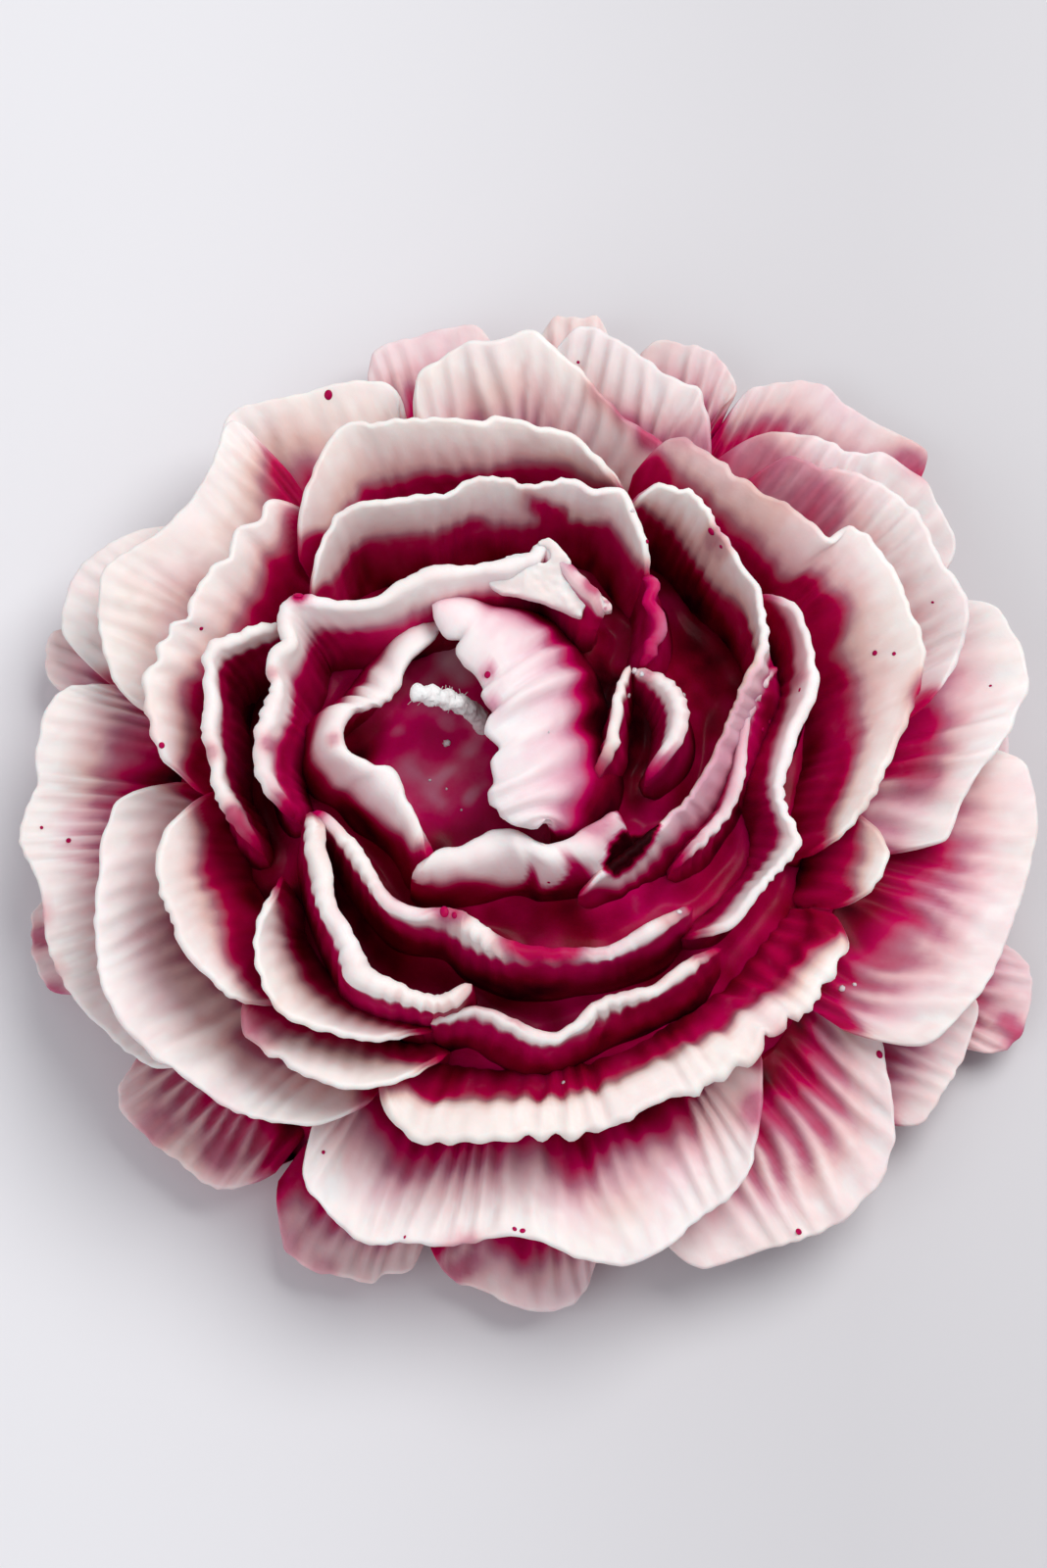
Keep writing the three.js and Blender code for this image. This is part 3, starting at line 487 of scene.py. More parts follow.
rim("guard_left", (17, 17, 16), [
    (-48.8, 15.3), (-51.1, 14.8), (-53.1, 13.9), (-55.0, 11.9), (-56.0, 9.6), (-56.3, 7.6),
    (-56.8, 5.9), (-56.9, 4.1), (-56.4, 2.2), (-57.5, -0.4), (-58.2, -2.9), (-58.2, -5.3),
    (-57.6, -7.1), (-56.4, -9.2), (-55.7, -11.3), (-55.4, -13.6), (-55.1, -16.4), (-54.2, -19.2),
    (-52.7, -22.1), (-51.0, -24.4), (-49.2, -26.3), (-47.0, -28.2), (-45.2, -29.8), (-42.9, -31.5),
    (-40.3, -32.7), (-38.0, -33.4),
])
rim("guard_left_back", (22, 23.6, 22), [
    (-31.3, 44.6), (-32.7, 45.4), (-34.1, 45.9), (-35.3, 43.0), (-36.4, 39.3), (-38.1, 35.6),
    (-39.3, 33.7), (-42.0, 30.7), (-44.7, 28.8), (-47.1, 27.3), (-48.7, 25.6), (-49.3, 23.4),
    (-49.3, 19.0), (-48.3, 15.1), (-46.8, 11.6), (-44.6, 8.9), (-42.6, 7.3),
])
rim("guard_back_left", (18, 18, 17), [
    (-15.0, 46.4), (-14.2, 48.1), (-14.3, 49.6), (-16.1, 50.5), (-19.5, 50.7), (-22.0, 50.3),
    (-24.3, 49.8), (-28.3, 48.8), (-31.2, 48.2), (-33.2, 47.8), (-34.6, 47.1), (-35.7, 45.2),
    (-36.9, 42.3), (-38.0, 39.3),
])
rim("guard_left_back_low", (13, 13, 12), [
    (-40.4, 37.0), (-42.6, 35.6), (-44.7, 34.4), (-47.0, 33.3), (-50.3, 31.2), (-52.6, 29.1),
    (-53.8, 26.7), (-54.5, 23.8), (-54.6, 20.2), (-54.1, 16.1),
])
rim("skirt_back_left", (8.6, 9, 8.6), [
    (-1.7, 59.7), (-5.2, 60.9), (-8.8, 60.6), (-11.1, 60.2), (-13.5, 59.3), (-15.9, 58.6),
    (-18.2, 57.5), (-19.7, 55.8), (-20.3, 53.8),
])
rim("skirt_back", (7.3, 8.2, 7.3), [
    (12.6, 60.8), (10.5, 61.8), (8.6, 62.3), (6.4, 62.0), (4.3, 62.3), (2.1, 62.0), (0.2, 61.3),
])
rim("skirt_back_right", (8.6, 9.4, 8.6), [
    (24.3, 51.1), (26.4, 52.6), (25.5, 54.2), (24.4, 55.8), (23.0, 57.2), (21.1, 58.1),
    (18.5, 58.6), (15.9, 59.5), (12.6, 59.5),
])
rim("skirt_right_back", (5.6, 7.7, 7.7), [
    (49.3, 41.5), (49.9, 43.3), (49.4, 44.7), (48.1, 46.3), (45.8, 47.5), (43.3, 48.8),
    (41.0, 50.1), (38.6, 51.6), (37.0, 53.4), (35.3, 54.1), (33.3, 54.4), (30.3, 54.1),
    (27.0, 53.3), (25.3, 52.1), (24.1, 50.6),
])
rim("skirt_right_front", (4.7, 5.2, 4.7), [
    (51.8, -28.9), (55.2, -28.1), (57.7, -26.2), (59.1, -23.7), (59.8, -20.2), (59.5, -17.2),
    (58.4, -14.7), (57.2, -12.8),
])
rim("skirt_front_right", (7.7, 7.7, 7.3), [
    (43.2, -39.0), (45.1, -38.1), (46.9, -35.8), (48.7, -33.0), (50.2, -30.9), (51.5, -28.4),
    (52.5, -25.5), (53.5, -23.0), (54.6, -19.5),
])
rim("skirt_front", (5.2, 6.9, 6), [
    (-11.8, -53.7), (-9.5, -54.5), (-7.2, -55.2), (-5.0, -55.7), (-2.7, -57.1), (-1.0, -57.8),
    (0.7, -58.2), (2.9, -58.1), (5.8, -57.2), (8.0, -55.1), (9.7, -52.4),
])
rim("skirt_front_left", (6.9, 7.3, 6), [
    (-30.8, -46.6), (-29.5, -47.5), (-28.2, -49.5), (-27.5, -51.3), (-26.3, -52.4), (-24.2, -53.7),
    (-21.9, -54.1), (-19.4, -54.6), (-17.4, -55.1), (-15.6, -53.9), (-12.9, -53.6), (-11.6, -52.2),
    (-10.7, -50.2),
])
rim("skirt_left_front", (8.2, 9, 8.2), [
    (-46.2, -28.2), (-46.9, -30.7), (-47.1, -33.1), (-46.4, -35.5), (-44.6, -37.3), (-42.4, -39.5),
    (-40.3, -40.8), (-37.2, -43.4), (-33.3, -44.9), (-30.8, -45.5),
])
rim("skirt_left", (4.7, 5.2, 4.7), [
    (-57.6, -7.1), (-58.0, -8.9), (-58.0, -11.9), (-57.8, -15.5), (-56.9, -18.4), (-55.2, -20.9),
    (-52.3, -22.4),
])
rim("skirt_left_back", (6.5, 7.3, 6.5), [
    (-55.2, 25.9), (-56.0, 24.1), (-56.7, 22.1), (-57.0, 18.6), (-56.7, 16.3), (-55.8, 14.0),
])
rim("skirt_right", (6.9, 7.7, 6.5), [
    (49.9, -9.7), (54.4, -3.5), (56.9, 3.6), (57.2, 11.1), (54.1, 17.9), (50.3, 24.2),
    (43.7, 28.4),
])
print(len(RIMS), "rims with", sum(len(petal["rim"]) for petal in RIMS.values()), "points")

# %% [markdown]
# Here and there the stain isn't where the depth alone would put it. A dab is a place on a petal, and
# a pool is a place on the core, each with its reach and how much dye it adds or takes away. Most
# dabs are stains of the dye, but the ones of strength 1 paint the black shade of a deep hole, and
# some broad dabs on the guard petals beside the collar paint its shadow there. The pools are painted
# light and shade on the core along with patches of its dye: where they take dye away they paint
# light and sheen, and where they add it they paint the shade of its hollows.

# %% Dabs and pools of dye and of painted light and shade: x, y, reach in millimetres, strength
DYE_AND_SHADE_DABS = [
    (1.3, 28.9, 0.6, 0.55), (2.4, 28.6, 0.8, 0.75), (3.5, 28.2, 0.8, 0.75), (4.5, 28.4, 0.6, 0.55),
    (3.1, 27.2, 0.6, 0.5), (0.4, 29.2, 0.8, 0.25), (8.0, -8.0, 2.2, 0.35), (21.4, 24.9, 1.2, 0.35),
    (22.4, 23.3, 1, 0.25), (10.0, -12.4, 1.3, 1), (11.1, -11.3, 1.7, 1), (12.2, -10.2, 1.8, 1),
    (13.2, -9.2, 1.7, 1), (14.1, -8.2, 1.3, 1), (10.5, -10.9, 1.3, 1), (11.6, -9.8, 1.5, 1),
    (12.7, -8.6, 1.3, 1), (-8.5, -18.5, 1.6, 0.45), (-6.9, -18.9, 1.2, 0.35),
    (1.2, -22.2, 2.6, 0.65), (4.4, -22.4, 2.4, 0.6), (-1.2, -21.8, 1.6, 0.5),
    (12.0, -19.3, 1, 0.5), (-25.1, 17.1, 0.9, 0.8), (-24.7, 17.7, 0.8, 0.5),
    (-32.2, -6.9, 1.4, 0.5), (-31.5, -8.6, 1.2, 0.4), (-34.9, 0.1, 1, 0.3), (6.1, 21.2, 1.2, 0.6),
    (7.8, 18.4, 1.2, 0.5), (-17.8, 2.4, 1.6, 0.3), (-28.2, 0.3, 1, 0.35), (-28.0, 8.4, 0.7, 0.25),
    (31.1, 10.1, 0.8, 0.3), (27.1, 5.2, 1.2, 0.3), (-4.0, 8.1, 0.9, 0.35), (-3.6, 4.3, 1, 0.3),
    (-31.1, -29.1, 1.8, 0.35), (-28.7, -30.1, 2, 0.3), (13.8, 8.7, 0.8, 0.3),
    (35.1, 0.8, 0.8, 0.2), (-21.2, 1.4, 0.8, 0.3), (-34.3, -16.5, 2, 0.15), (48.3, 41.5, 2, 0.6),
    (46.3, 43.7, 2.5, 0.4), (46.0, 8.1, 2.2, 0.7), (46.8, 9.9, 1.6, 0.5), (45.9, 2.5, 3, 0.4),
    (30.7, 35.7, 6, 0.26), (26.8, 41.2, 5, 0.36), (34.8, 33.3, 3.6, 0.3), (9.0, 47.0, 1.8, 0.3),
    (12.2, 45.0, 2, 0.5), (14.9, 41.7, 2, 0.5), (41.4, -5.5, 3, 0.2), (-28.5, 37.5, 2.8, 0.35),
    (-26.9, 34.8, 2.4, 0.4), (13.5, 19.7, 1.1, 0.5), (13.7, 17.7, 1.1, 0.5),
    (13.8, 15.9, 1.1, 0.5), (14.0, 14.1, 1.1, 0.5), (13.7, 12.6, 1.1, 0.4),
    (-45.5, 5.5, 2.8, 0.25), (-44.1, 2.0, 2, 0.3), (30.1, -31.8, 2.8, 0.4),
    (26.7, -37.0, 2.6, 0.4), (19.3, 41.5, 4, 0.3), (-27.1, 42.7, 4, 0.08),
    (-42.5, -37.0, 2.5, 0.3), (-35.1, -40.3, 2.5, 0.35), (-29.3, -47.7, 2.2, 0.2),
    (-27.4, -50.9, 2.2, 0.25), (-23.1, -53.6, 1.6, 0.25), (-8.4, -53.9, 1.6, 0.35),
    (-6.1, -52.7, 1.6, 0.3), (-56.6, -14.0, 1.6, 0.4), (-55.3, -21.0, 1.8, 0.4),
    (58.5, -26.4, 1.8, 0.45), (57.2, -29.9, 2, 0.35), (56.8, -24.1, 1.4, 0.4),
    (24.6, 8.1, 3, 0.22), (22.8, 3.0, 3, 0.24), (21.0, -2.1, 3, 0.26), (18.1, -6.9, 3, 0.2),
]
DYE_LIGHT_AND_SHADE_POOLS = [
    (31.6, -19.0, 7, -0.12), (36.5, -9.7, 5, -0.1), (18.3, -30.2, 6, -0.1), (2.9, -35.8, 7, -0.08),
    (12.7, -18.3, 4, -0.06), (-31.3, -13.1, 7, 0.18), (-20.1, -20.5, 5, 0.08),
    (-3.7, -24.0, 7, 0.05), (8.4, 8.4, 4.5, 0.2), (8.6, 1.5, 4, 0.16), (17.3, 17.5, 6, 0.07),
    (7.3, 14.1, 5, 0.12), (-32.6, 7.2, 6, 0.14), (8.4, 3.8, 4, 0.14), (-8.0, 13.8, 3, -0.4),
    (-5.7, 10.7, 2.4, -0.2), (-11.5, 8.6, 2.4, -0.12), (-17.8, 2.7, 2.2, 0.16),
    (36.7, 16.9, 6, 0.06), (-9.3, 24.8, 7, -0.04), (-26.3, 26.3, 5, 0.06), (25.4, 26.3, 6, 0.06),
]
print(len(DYE_AND_SHADE_DABS), "dabs and", len(DYE_LIGHT_AND_SHADE_POOLS), "pools")

# %% [markdown]
# ## How a petal's wall stands
#
# Petals of one whorl stand alike, so most of their shape is a matter of the whorl, and a few
# petals have traits of their own. Lengths are in millimetres, and strengths are shares of 1. Where
# a width of cream or a lean has many values, they run along the rim.
#
# - middle, lean, ring, ring_share, follow, taper: where the foot stands. It stands either a lean
#   away from the rim, or on a ring round the middle.
# - bend: how far out and up the wall swells between its foot and its rim.
# - lip, rib_pitch, rib_depth, lip_calm, scallop, ragged: the rim's thickness, the ribs, how calm
#   they are at the lip, and how they and a little noise shape the rim.
# - calm, tail, ends, settle: over what length the wall smooths the rim's line, over what length it
#   sinks at its ends and by how much at each, and whether its outer face lies on the table.
# - folds, roll: folds with their place, slant, width and height, and a swell's width and height.
# - cream, blur: how wide the cream wax is on each face, and how softly it turns to magenta. The
#   inner face looks at the middle of the flower, and the outer face away from it.
# - shade, tint, grooves, mottle: how much the cream darkens down its band, all over, in the
#   grooves and in specks.
# - streaks, foot_stain, blush: the dye's teeth, its climb from the foot, and how pink it is.

# %% Traits by whorl
HEART_MIDDLE = (-9.67, 1.43)
INNER_MIDDLE = (-6.32, 0.62)
FLOWER_MIDDLE = (0, 0)
PLAIN = {
    "ring_share": 1.0, "taper": 0.3, "streaks": 0.05, "ragged": 0.07, "lip_calm": 0.7, "folds": [],
    "ends": (1, 1), "tint": 0.0, "foot_stain": 0.3, "grooves": 0.0, "roll": (1, 0),
    "mottle": 0.035, "settle": 0, "calm": 6,
}
WHORLS = {
    "heart": {
        "middle": HEART_MIDDLE, "lean": -3.0, "bend": (0.25, 1.0), "lip": 1.9, "rib_pitch": 3.0,
        "rib_depth": 0.2, "inner_cream": 1.0, "inner_blur": 1.6, "outer_cream": 4.0,
        "outer_blur": 3.6, "tail": 4, "shade": 0.08, "blush": 0.8, "scallop": 0.12, "calm": 2,
    },
    "inner": {
        "middle": INNER_MIDDLE, "lean": 1.8, "bend": (0.1, 0.7), "lip": 1.8, "rib_pitch": 1.9,
        "rib_depth": 0.13, "inner_cream": 1.4, "inner_blur": 2.6, "outer_cream": 1.4,
        "outer_blur": 2.4, "tail": 5, "shade": 0.12, "blush": 0.5, "scallop": 0.1,
    },
    "crown": {
        "middle": INNER_MIDDLE, "lean": 4.6, "bend": (0.1, 0.62), "lip": 1.3, "rib_pitch": 2.0,
        "rib_depth": 0.15, "inner_cream": 3.4, "inner_blur": 3.4, "outer_cream": 1.6,
        "outer_blur": 2.6, "tail": 5, "shade": 0.22, "blush": 0.3, "scallop": 0.1,
    },
    "collar": {
        "middle": FLOWER_MIDDLE, "ring": 33.6, "follow": 0.3, "bend": (0.12, 0.62), "lip": 1.0,
        "rib_pitch": 2.5, "rib_depth": 0.16, "inner_cream": 5.0, "inner_blur": 4.6,
        "outer_cream": 2.4, "outer_blur": 2.6, "tail": 6, "shade": 0.28, "blush": 0.1,
        "scallop": 0.11, "streaks": 0.03,
    },
    "guard": {
        "middle": FLOWER_MIDDLE, "ring": 38.2, "follow": 0.15, "bend": (0.3, 0.56), "lip": 0.9,
        "rib_pitch": 3.1, "rib_depth": 0.5, "inner_cream": 12.5, "inner_blur": 9.0,
        "outer_cream": 6.0, "outer_blur": 5.0, "tail": 6, "streaks": 0.06, "shade": 0.25,
        "grooves": 0.18, "blush": 0.35, "scallop": 0.08,
    },
    "skirt": {
        "middle": FLOWER_MIDDLE, "ring": 45.0, "follow": 0.0, "bend": (0.4, 0.7), "lip": 0.8,
        "rib_pitch": 2.6, "rib_depth": 0.42, "inner_cream": 8.0, "inner_blur": 8.0,
        "outer_cream": 3.5, "outer_blur": 4.0, "settle": 1, "tail": 5, "streaks": 0.1,
        "tint": 0.09, "shade": 0.28, "grooves": 0.4, "blush": 0.6, "scallop": 0.08,
    },
}
print("whorls", list(WHORLS))

# %% Traits of single petals
OWN = {
    "heart_right": {
        "bend": (0.22, 1.25), "outer_blur": 7.0, "rib_pitch": 3.3, "rib_depth": 0.42, "shade": 0.1,
        "tail": 4, "lip_calm": 0.2, "streaks": 0.1,
        "folds": [(0.46, -0.2, 1.2, 0.6), (0.55, -0.25, 1.1, -0.35)], "ends": (0.15, 0.3),
        "outer_shade": 0.2, "grooves": 0.1, "foot_stain": 0.12, "blush": 1.0,
    },
    "heart_left": {
        "taper": 0, "calm": 0.6, "lip": 1.6, "lean": (-5.2, -4.6, -3.8, -3.8, -3.8, -3.4),
        "rib_depth": 0.25, "blush": 0.5, "ends": (0.2, 1), "tail": 3,
    },
    "heart_front": {
        "lean": -4.4, "bend": (0.2, 1.1), "outer_blur": 4.2, "rib_pitch": 4.2, "rib_depth": 0.26,
        "lip_calm": 0.4, "streaks": 0.9,
    },
    "inner_back": {
        "ends": (0.3, 1), "lean": 4.2, "bend": (0.1, 0.62), "inner_blur": 4.2, "shade": 0.2,
        "tail": 4,
    },
    "inner_fold_near": {"lip": 1.4, "tail": 7, "lean": 0.6, "ends": (1, 0.1)},
    "inner_fold_far": {"lip": 1.6, "tail": 7, "lean": 1.0, "ends": (1, 0.1)},
    "inner_torn": {
        "lip": 1.3, "tail": 2, "lean": -0.6, "ragged": 0.5, "tint": 0.6, "mottle": 0.35,
        "blush": 1.0, "inner_cream": 0.3, "outer_cream": 0.4,
    },
    "inner_front_near": {"lean": -1.4, "bend": (0.3, 0.9), "outer_blur": 2.2, "streaks": 0.16},
    "inner_front_far": {
        "lean": 0.6, "lip": 2.5, "outer_blur": 2.2, "streaks": 0.14, "ends": (1, 0.1), "tail": 3,
    },
    "crown_back": {"lip": 0.9, "shade": 0.26, "rib_depth": 0.1},
    "crown_left": {"lip": 1.7, "lean": 2.6, "inner_blur": 2.0, "tail": 4, "ends": (0.1, 1)},
    "crown_right": {
        "lip": 1.0, "lean": (0.4, -1.0, -3.2, -3.6, -2.0, 1.5, 4.4, 5, 4.6), "shade": 0.36,
        "blush": 0.1, "outer_cream": (3, 4, 4.6, 5, 5, 4.4, 3.2, 1.6, 0.6, 0.4), "outer_blur": 3.6,
        "outer_blush": 1.0, "outer_shade": 0.22,
    },
    "crown_right_inner": {"lean": 1.6, "lip": 1.4, "inner_blur": 2.2, "blush": 0.8},
    "crown_right_outer": {
        "lean": 3.6, "inner_blur": 2.6, "outer_cream": 3.2, "outer_blur": 4.4, "blush": 0.6,
    },
    "crown_front": {"lean": 0.4, "outer_blur": 2.6, "streaks": 0.16, "ends": (0.2, 1)},
    "collar_right": {
        "calm": 9, "inner_blur": 4.2, "shade": 0.36, "rib_depth": 0.1, "streaks": 0.02,
    },
    "collar_back": {"rib_depth": 0.07, "inner_blur": 3.6, "shade": 0.3, "streaks": 0.02},
    "collar_back_left": {"ragged": 0.2, "rib_depth": 0.34, "rib_pitch": 3.4, "scallop": 0.28},
    "collar_left_front": {"ring_share": 0.93},
    "collar_front": {
        "rib_depth": 0.32, "rib_pitch": 3.2, "lip": 1.8, "lip_calm": 0.2, "scallop": 0.24,
        "shade": 0.16, "inner_blur": 3.6, "roll": (5.0, 0.9),
    },
    "guard_back": {"ring_share": 0.97, "inner_blur": 12},
    "guard_back_right": {"ring_share": 1.05, "blush": 0.7},
    "guard_right_high": {"ring_share": 0.97, "inner_cream": 11, "blush": 0.5, "shade": 0.3},
    "guard_right_back": {
        "ring_share": 1.05, "rib_pitch": 4.0, "grooves": 0.18, "blush": 0.55, "shade": 0.28,
    },
    "guard_right": {
        "blush": 0.6, "inner_cream": 12, "inner_blur": 11, "rib_pitch": 4.4, "grooves": 0.22,
    },
    "guard_right_front": {
        "blush": 0.5, "foot_stain": 0.42, "inner_cream": 11.8, "inner_blur": 7, "streaks": 0.16,
        "grooves": 0.28, "rib_pitch": 4.2, "shade": 0.31, "tint": 0.03,
    },
    "guard_front_right": {
        "ring_share": 1.05, "inner_cream": 16, "inner_blur": 9, "streaks": 0.14, "grooves": 0.34,
        "tint": 0.06, "rib_pitch": 4.4, "blush": 0.4,
    },
    "guard_front": {"inner_cream": 12, "inner_blur": 7, "blush": 0.55, "grooves": 0.1},
    "guard_left_front": {"ring_share": 0.97, "blush": 0.4, "rib_depth": 0.34, "grooves": 0.12},
    "guard_left": {
        "ring_share": 1.05, "inner_cream": 11, "inner_blur": 11, "blush": 0.5, "grooves": 0.2,
        "rib_pitch": 2.3,
    },
    "guard_left_back": {"ring_share": 0.97, "blush": 0.2, "rib_depth": 0.3, "grooves": 0.08},
    "guard_back_left": {
        "ring_share": 1.05, "blush": 0.2, "inner_cream": 12, "rib_depth": 0.3, "grooves": 0.1,
    },
    "guard_left_back_low": {"ring_share": 1.05, "rib_depth": 0.3, "grooves": 0.1},
    "skirt_left_front": {"tint": 0.1, "grooves": 0.62, "rib_depth": 0.5},
    "skirt_front_left": {"tint": 0.1, "grooves": 0.5, "rib_depth": 0.5},
    "skirt_front": {"tint": 0.1, "grooves": 0.45},
    "skirt_right_front": {"tint": 0.14, "grooves": 0.4},
}
print(len(OWN), "petals have traits of their own")

# %% Put a petal's traits together
CORE_ROUNDNESS = 2.6
COLLAR_REACH = 35


def core_top(x, y):
    out = np.minimum(np.hypot(x, y) / core_reach, 1)
    return core_height * (1 - out ** CORE_ROUNDNESS)


def traits(name):
    whorl = name.split("_")[0]
    petal = {**PLAIN, **WHORLS[whorl], **RIMS[name], **OWN.get(name, {})}
    petal.setdefault("outer_blush", petal["blush"])
    petal.setdefault("outer_shade", petal["shade"])
    return petal


tops = [round(float(core_top(reach, 0)), 1) for reach in (0, COLLAR_REACH)]
print("the core's top is", tops[0], "mm up, and at the collar", tops[1])

# %% [markdown]
# ## Smooth lines and soft noise
#
# A rim is a smooth line through its points. Real petals are never quite regular, so ribs and
# stains are pushed about by soft noise, a smooth line through random heights. The random numbers
# come from a seed, so that the flower is the same each time.

# %% Helpers for smooth lines
COLUMN_SPACING = 0.5
STEPS_BETWEEN_POINTS = 12
FEWEST_COLUMNS = 8


def through(points, spacing):
    points = np.array(points, float)
    padded = np.vstack([2 * points[0] - points[1], points, 2 * points[-1] - points[-2]])
    share = np.linspace(0, 1, STEPS_BETWEEN_POINTS, endpoint=False)[:, None]
    pieces = []
    for first in range(len(points) - 1):
        before, start, stop, after = padded[first:first + 4]
        in_slope = (stop - before) / 2
        out_slope = (after - start) / 2
        cubic = 2 * start - 2 * stop + in_slope + out_slope
        square = -3 * start + 3 * stop - 2 * in_slope - out_slope
        pieces.append(cubic * share ** 3 + square * share ** 2 + in_slope * share + start)
    dense = np.vstack(pieces + [points[-1:]])
    travelled = np.r_[0, np.cumsum(np.hypot(*np.diff(dense, axis=0).T))]
    count = max(int(travelled[-1] / spacing), FEWEST_COLUMNS) + 1
    even = np.linspace(0, travelled[-1], count)
    return np.array([np.interp(even, travelled, column) for column in dense.T]).T, even


def smoothed(line, reach):
    width = max(int(reach / COLUMN_SPACING), 1)
    kernel = np.hanning(2 * width + 3)
    kernel = kernel / kernel.sum()
    pad = len(kernel) // 2
    columns = []
    for values in line.T:
        before = 2 * values[0] - values[pad:0:-1]
        after = 2 * values[-1] - values[-2:-pad - 2:-1]
        columns.append(np.convolve(np.r_[before, values, after], kernel, mode="valid"))
    return np.array(columns).T


line, even = through(RIMS["crown_back"]["rim"], COLUMN_SPACING)
print("the rim of crown_back is", round(even[-1], 1), "mm long in", len(line), "steps")

# %% Helpers for soft noise
LATTICE_SIZE = 64


def smoothstep(values):
    share = np.clip(values, 0, 1)
    return share * share * (3 - 2 * share)


def soft_noise(seed, *coordinates):
    lattice = np.random.default_rng(seed).uniform(-1, 1, (LATTICE_SIZE,) * len(coordinates))
    cells = [np.floor(values).astype(int) for values in coordinates]
    blends = [smoothstep(values - cell) for values, cell in zip(coordinates, cells)]
    total = 0
    for corner in range(2 ** len(coordinates)):
        weight = 1
        places = []
        for number, (cell, blend) in enumerate(zip(cells, blends)):
            far = corner >> number & 1
            weight = weight * (blend if far else 1 - blend)
            places.append((cell + far) % LATTICE_SIZE)
        total = total + weight * lattice[tuple(places)]
    return total


print("soft noise between lattice points", soft_noise(1, np.array([0.0, 0.5, 1.0])).round(2))

# %% [markdown]
# ## One petal
#
# The petal starts as a flat grid. One side of the grid runs along the rim, and the other runs
# round the wall: up the inner face, over the lip and down the outer face to the foot. The wall's
# section is a quadratic curve from foot to rim. The seam at the foot and the pinched ends are
# merged with remove_doubles, so the petal is one closed skin. A mesh made by hand with extrusions
# could have this outline too, but not the hundreds of fine ribs.

# %% The rows round a wall
INNER_ROWS = 22
LIP_ROWS = 6
OUTER_ROWS = 16


def wall_rows():
    rows = [(1, up) for up in np.linspace(0, 1, INNER_ROWS)]
    for turn_share in np.linspace(0, 1, LIP_ROWS + 2)[1:-1]:
        rows.append((math.cos(math.pi * turn_share), 1 + math.sin(math.pi * turn_share)))
    rows += [(-1, up) for up in np.linspace(1, 0, OUTER_ROWS)]
    rows.append((1, 0))
    return np.array(rows).T


SIDES, UPS = wall_rows()
HEIGHTS = np.minimum(UPS, 1)
print(len(UPS), "rows round each wall")

# %% [markdown]
# Each kind of unevenness has a soft noise of its own. The table gives what is added to the petal's
# seed, how strong the noise is, and how long its waves are along the rim and down the wall. The
# length of the ribs' own noises along the rim is counted in ribs.

# %% The noises of a petal, and its ribs
ENDLESS = math.inf
NOISES = {
    "thickness": (4, 0.25, 4),
    "rim_height": (5, 0.4, 5),
    "band_width": (6, 0.25, 6, ENDLESS),
    "band_edge": (7, 0.05, 1.9, ENDLESS),
    "ragged": (8, 1.0, 1.5),
    "ragged_fine": (9, 0.7, 0.8),
    "teeth": (10, 0.8, 2.4, 14),
    # The edge of the painted shade at the wall's foot wavers with this noise.
    "wine_edge": (11, 0.25, 3, 9),
    "depth_of_dye": (12, 0.12, 5, 4),
    "blush": (13, 0.35, 8, 5),
    "depth_of_dye_fine": (14, 0.06, 1.7, 2.5),
    "foot_stain": (15, 0.15, 3, 9),
    "mottle": (16, 1.0, 0.9, 1.2),
}
RIB_NOISES = {"warp": (1, 0.8, 2.5, 12), "waver": (2, 0.08, 1, 4), "vigour": (3, 0.7, 1.9, 14)}
RIB_VIGOUR = 0.75


def noise(name, seed, along, depth=None):
    number, strength, *lengths = NOISES[name]
    coordinates = [values / length for values, length in zip((along, depth), lengths)]
    return strength * soft_noise(seed + number, *coordinates)


def rib_wave(petal, seed, along, depth):
    pitch = petal["rib_pitch"]

    def rib_noise(name):
        number, strength, pitches, length = RIB_NOISES[name]
        return strength * soft_noise(seed + number, along / (pitch * pitches), depth / length)

    warp = rib_noise("warp") + rib_noise("waver")
    return np.cos(2 * math.pi * (along / pitch + warp)) * (RIB_VIGOUR + rib_noise("vigour"))


print(len(NOISES) + len(RIB_NOISES), "noises")

# %% The middle surface of a wall
FOOT_DEPTH = 1.0
LIP_INSET = 0.45
CORNER_DROP = 0.32
TAILS_PER_RIM = 3
RIPPLE_POWER = 6


def spread(values, even):
    values = np.atleast_1d(values)
    return np.interp(even, np.linspace(0, even[-1], len(values)), values)[:, None]


def foot_line(petal, calm, even):
    along = even / even[-1]
    middle = np.array(petal["middle"])
    radial = calm - middle
    reach = np.hypot(*radial.T)
    radial = radial / reach[:, None]
    if "foot" in petal:
        foot, foot_even = through(petal["foot"], COLUMN_SPACING)
        foot_along = foot_even / foot_even[-1]
        return np.array([np.interp(along, foot_along, column) for column in foot.T]).T, True
    if "ring" in petal:
        ring = petal["ring"] * petal["ring_share"] + (reach - reach.mean()) * petal["follow"]
        return middle + radial * ring[:, None], False
    taper = 1 - petal["taper"] * np.abs(2 * along - 1)
    lean = spread(petal["lean"], even) * taper[:, None]
    return calm - radial * lean, np.mean(petal["lean"]) < 0


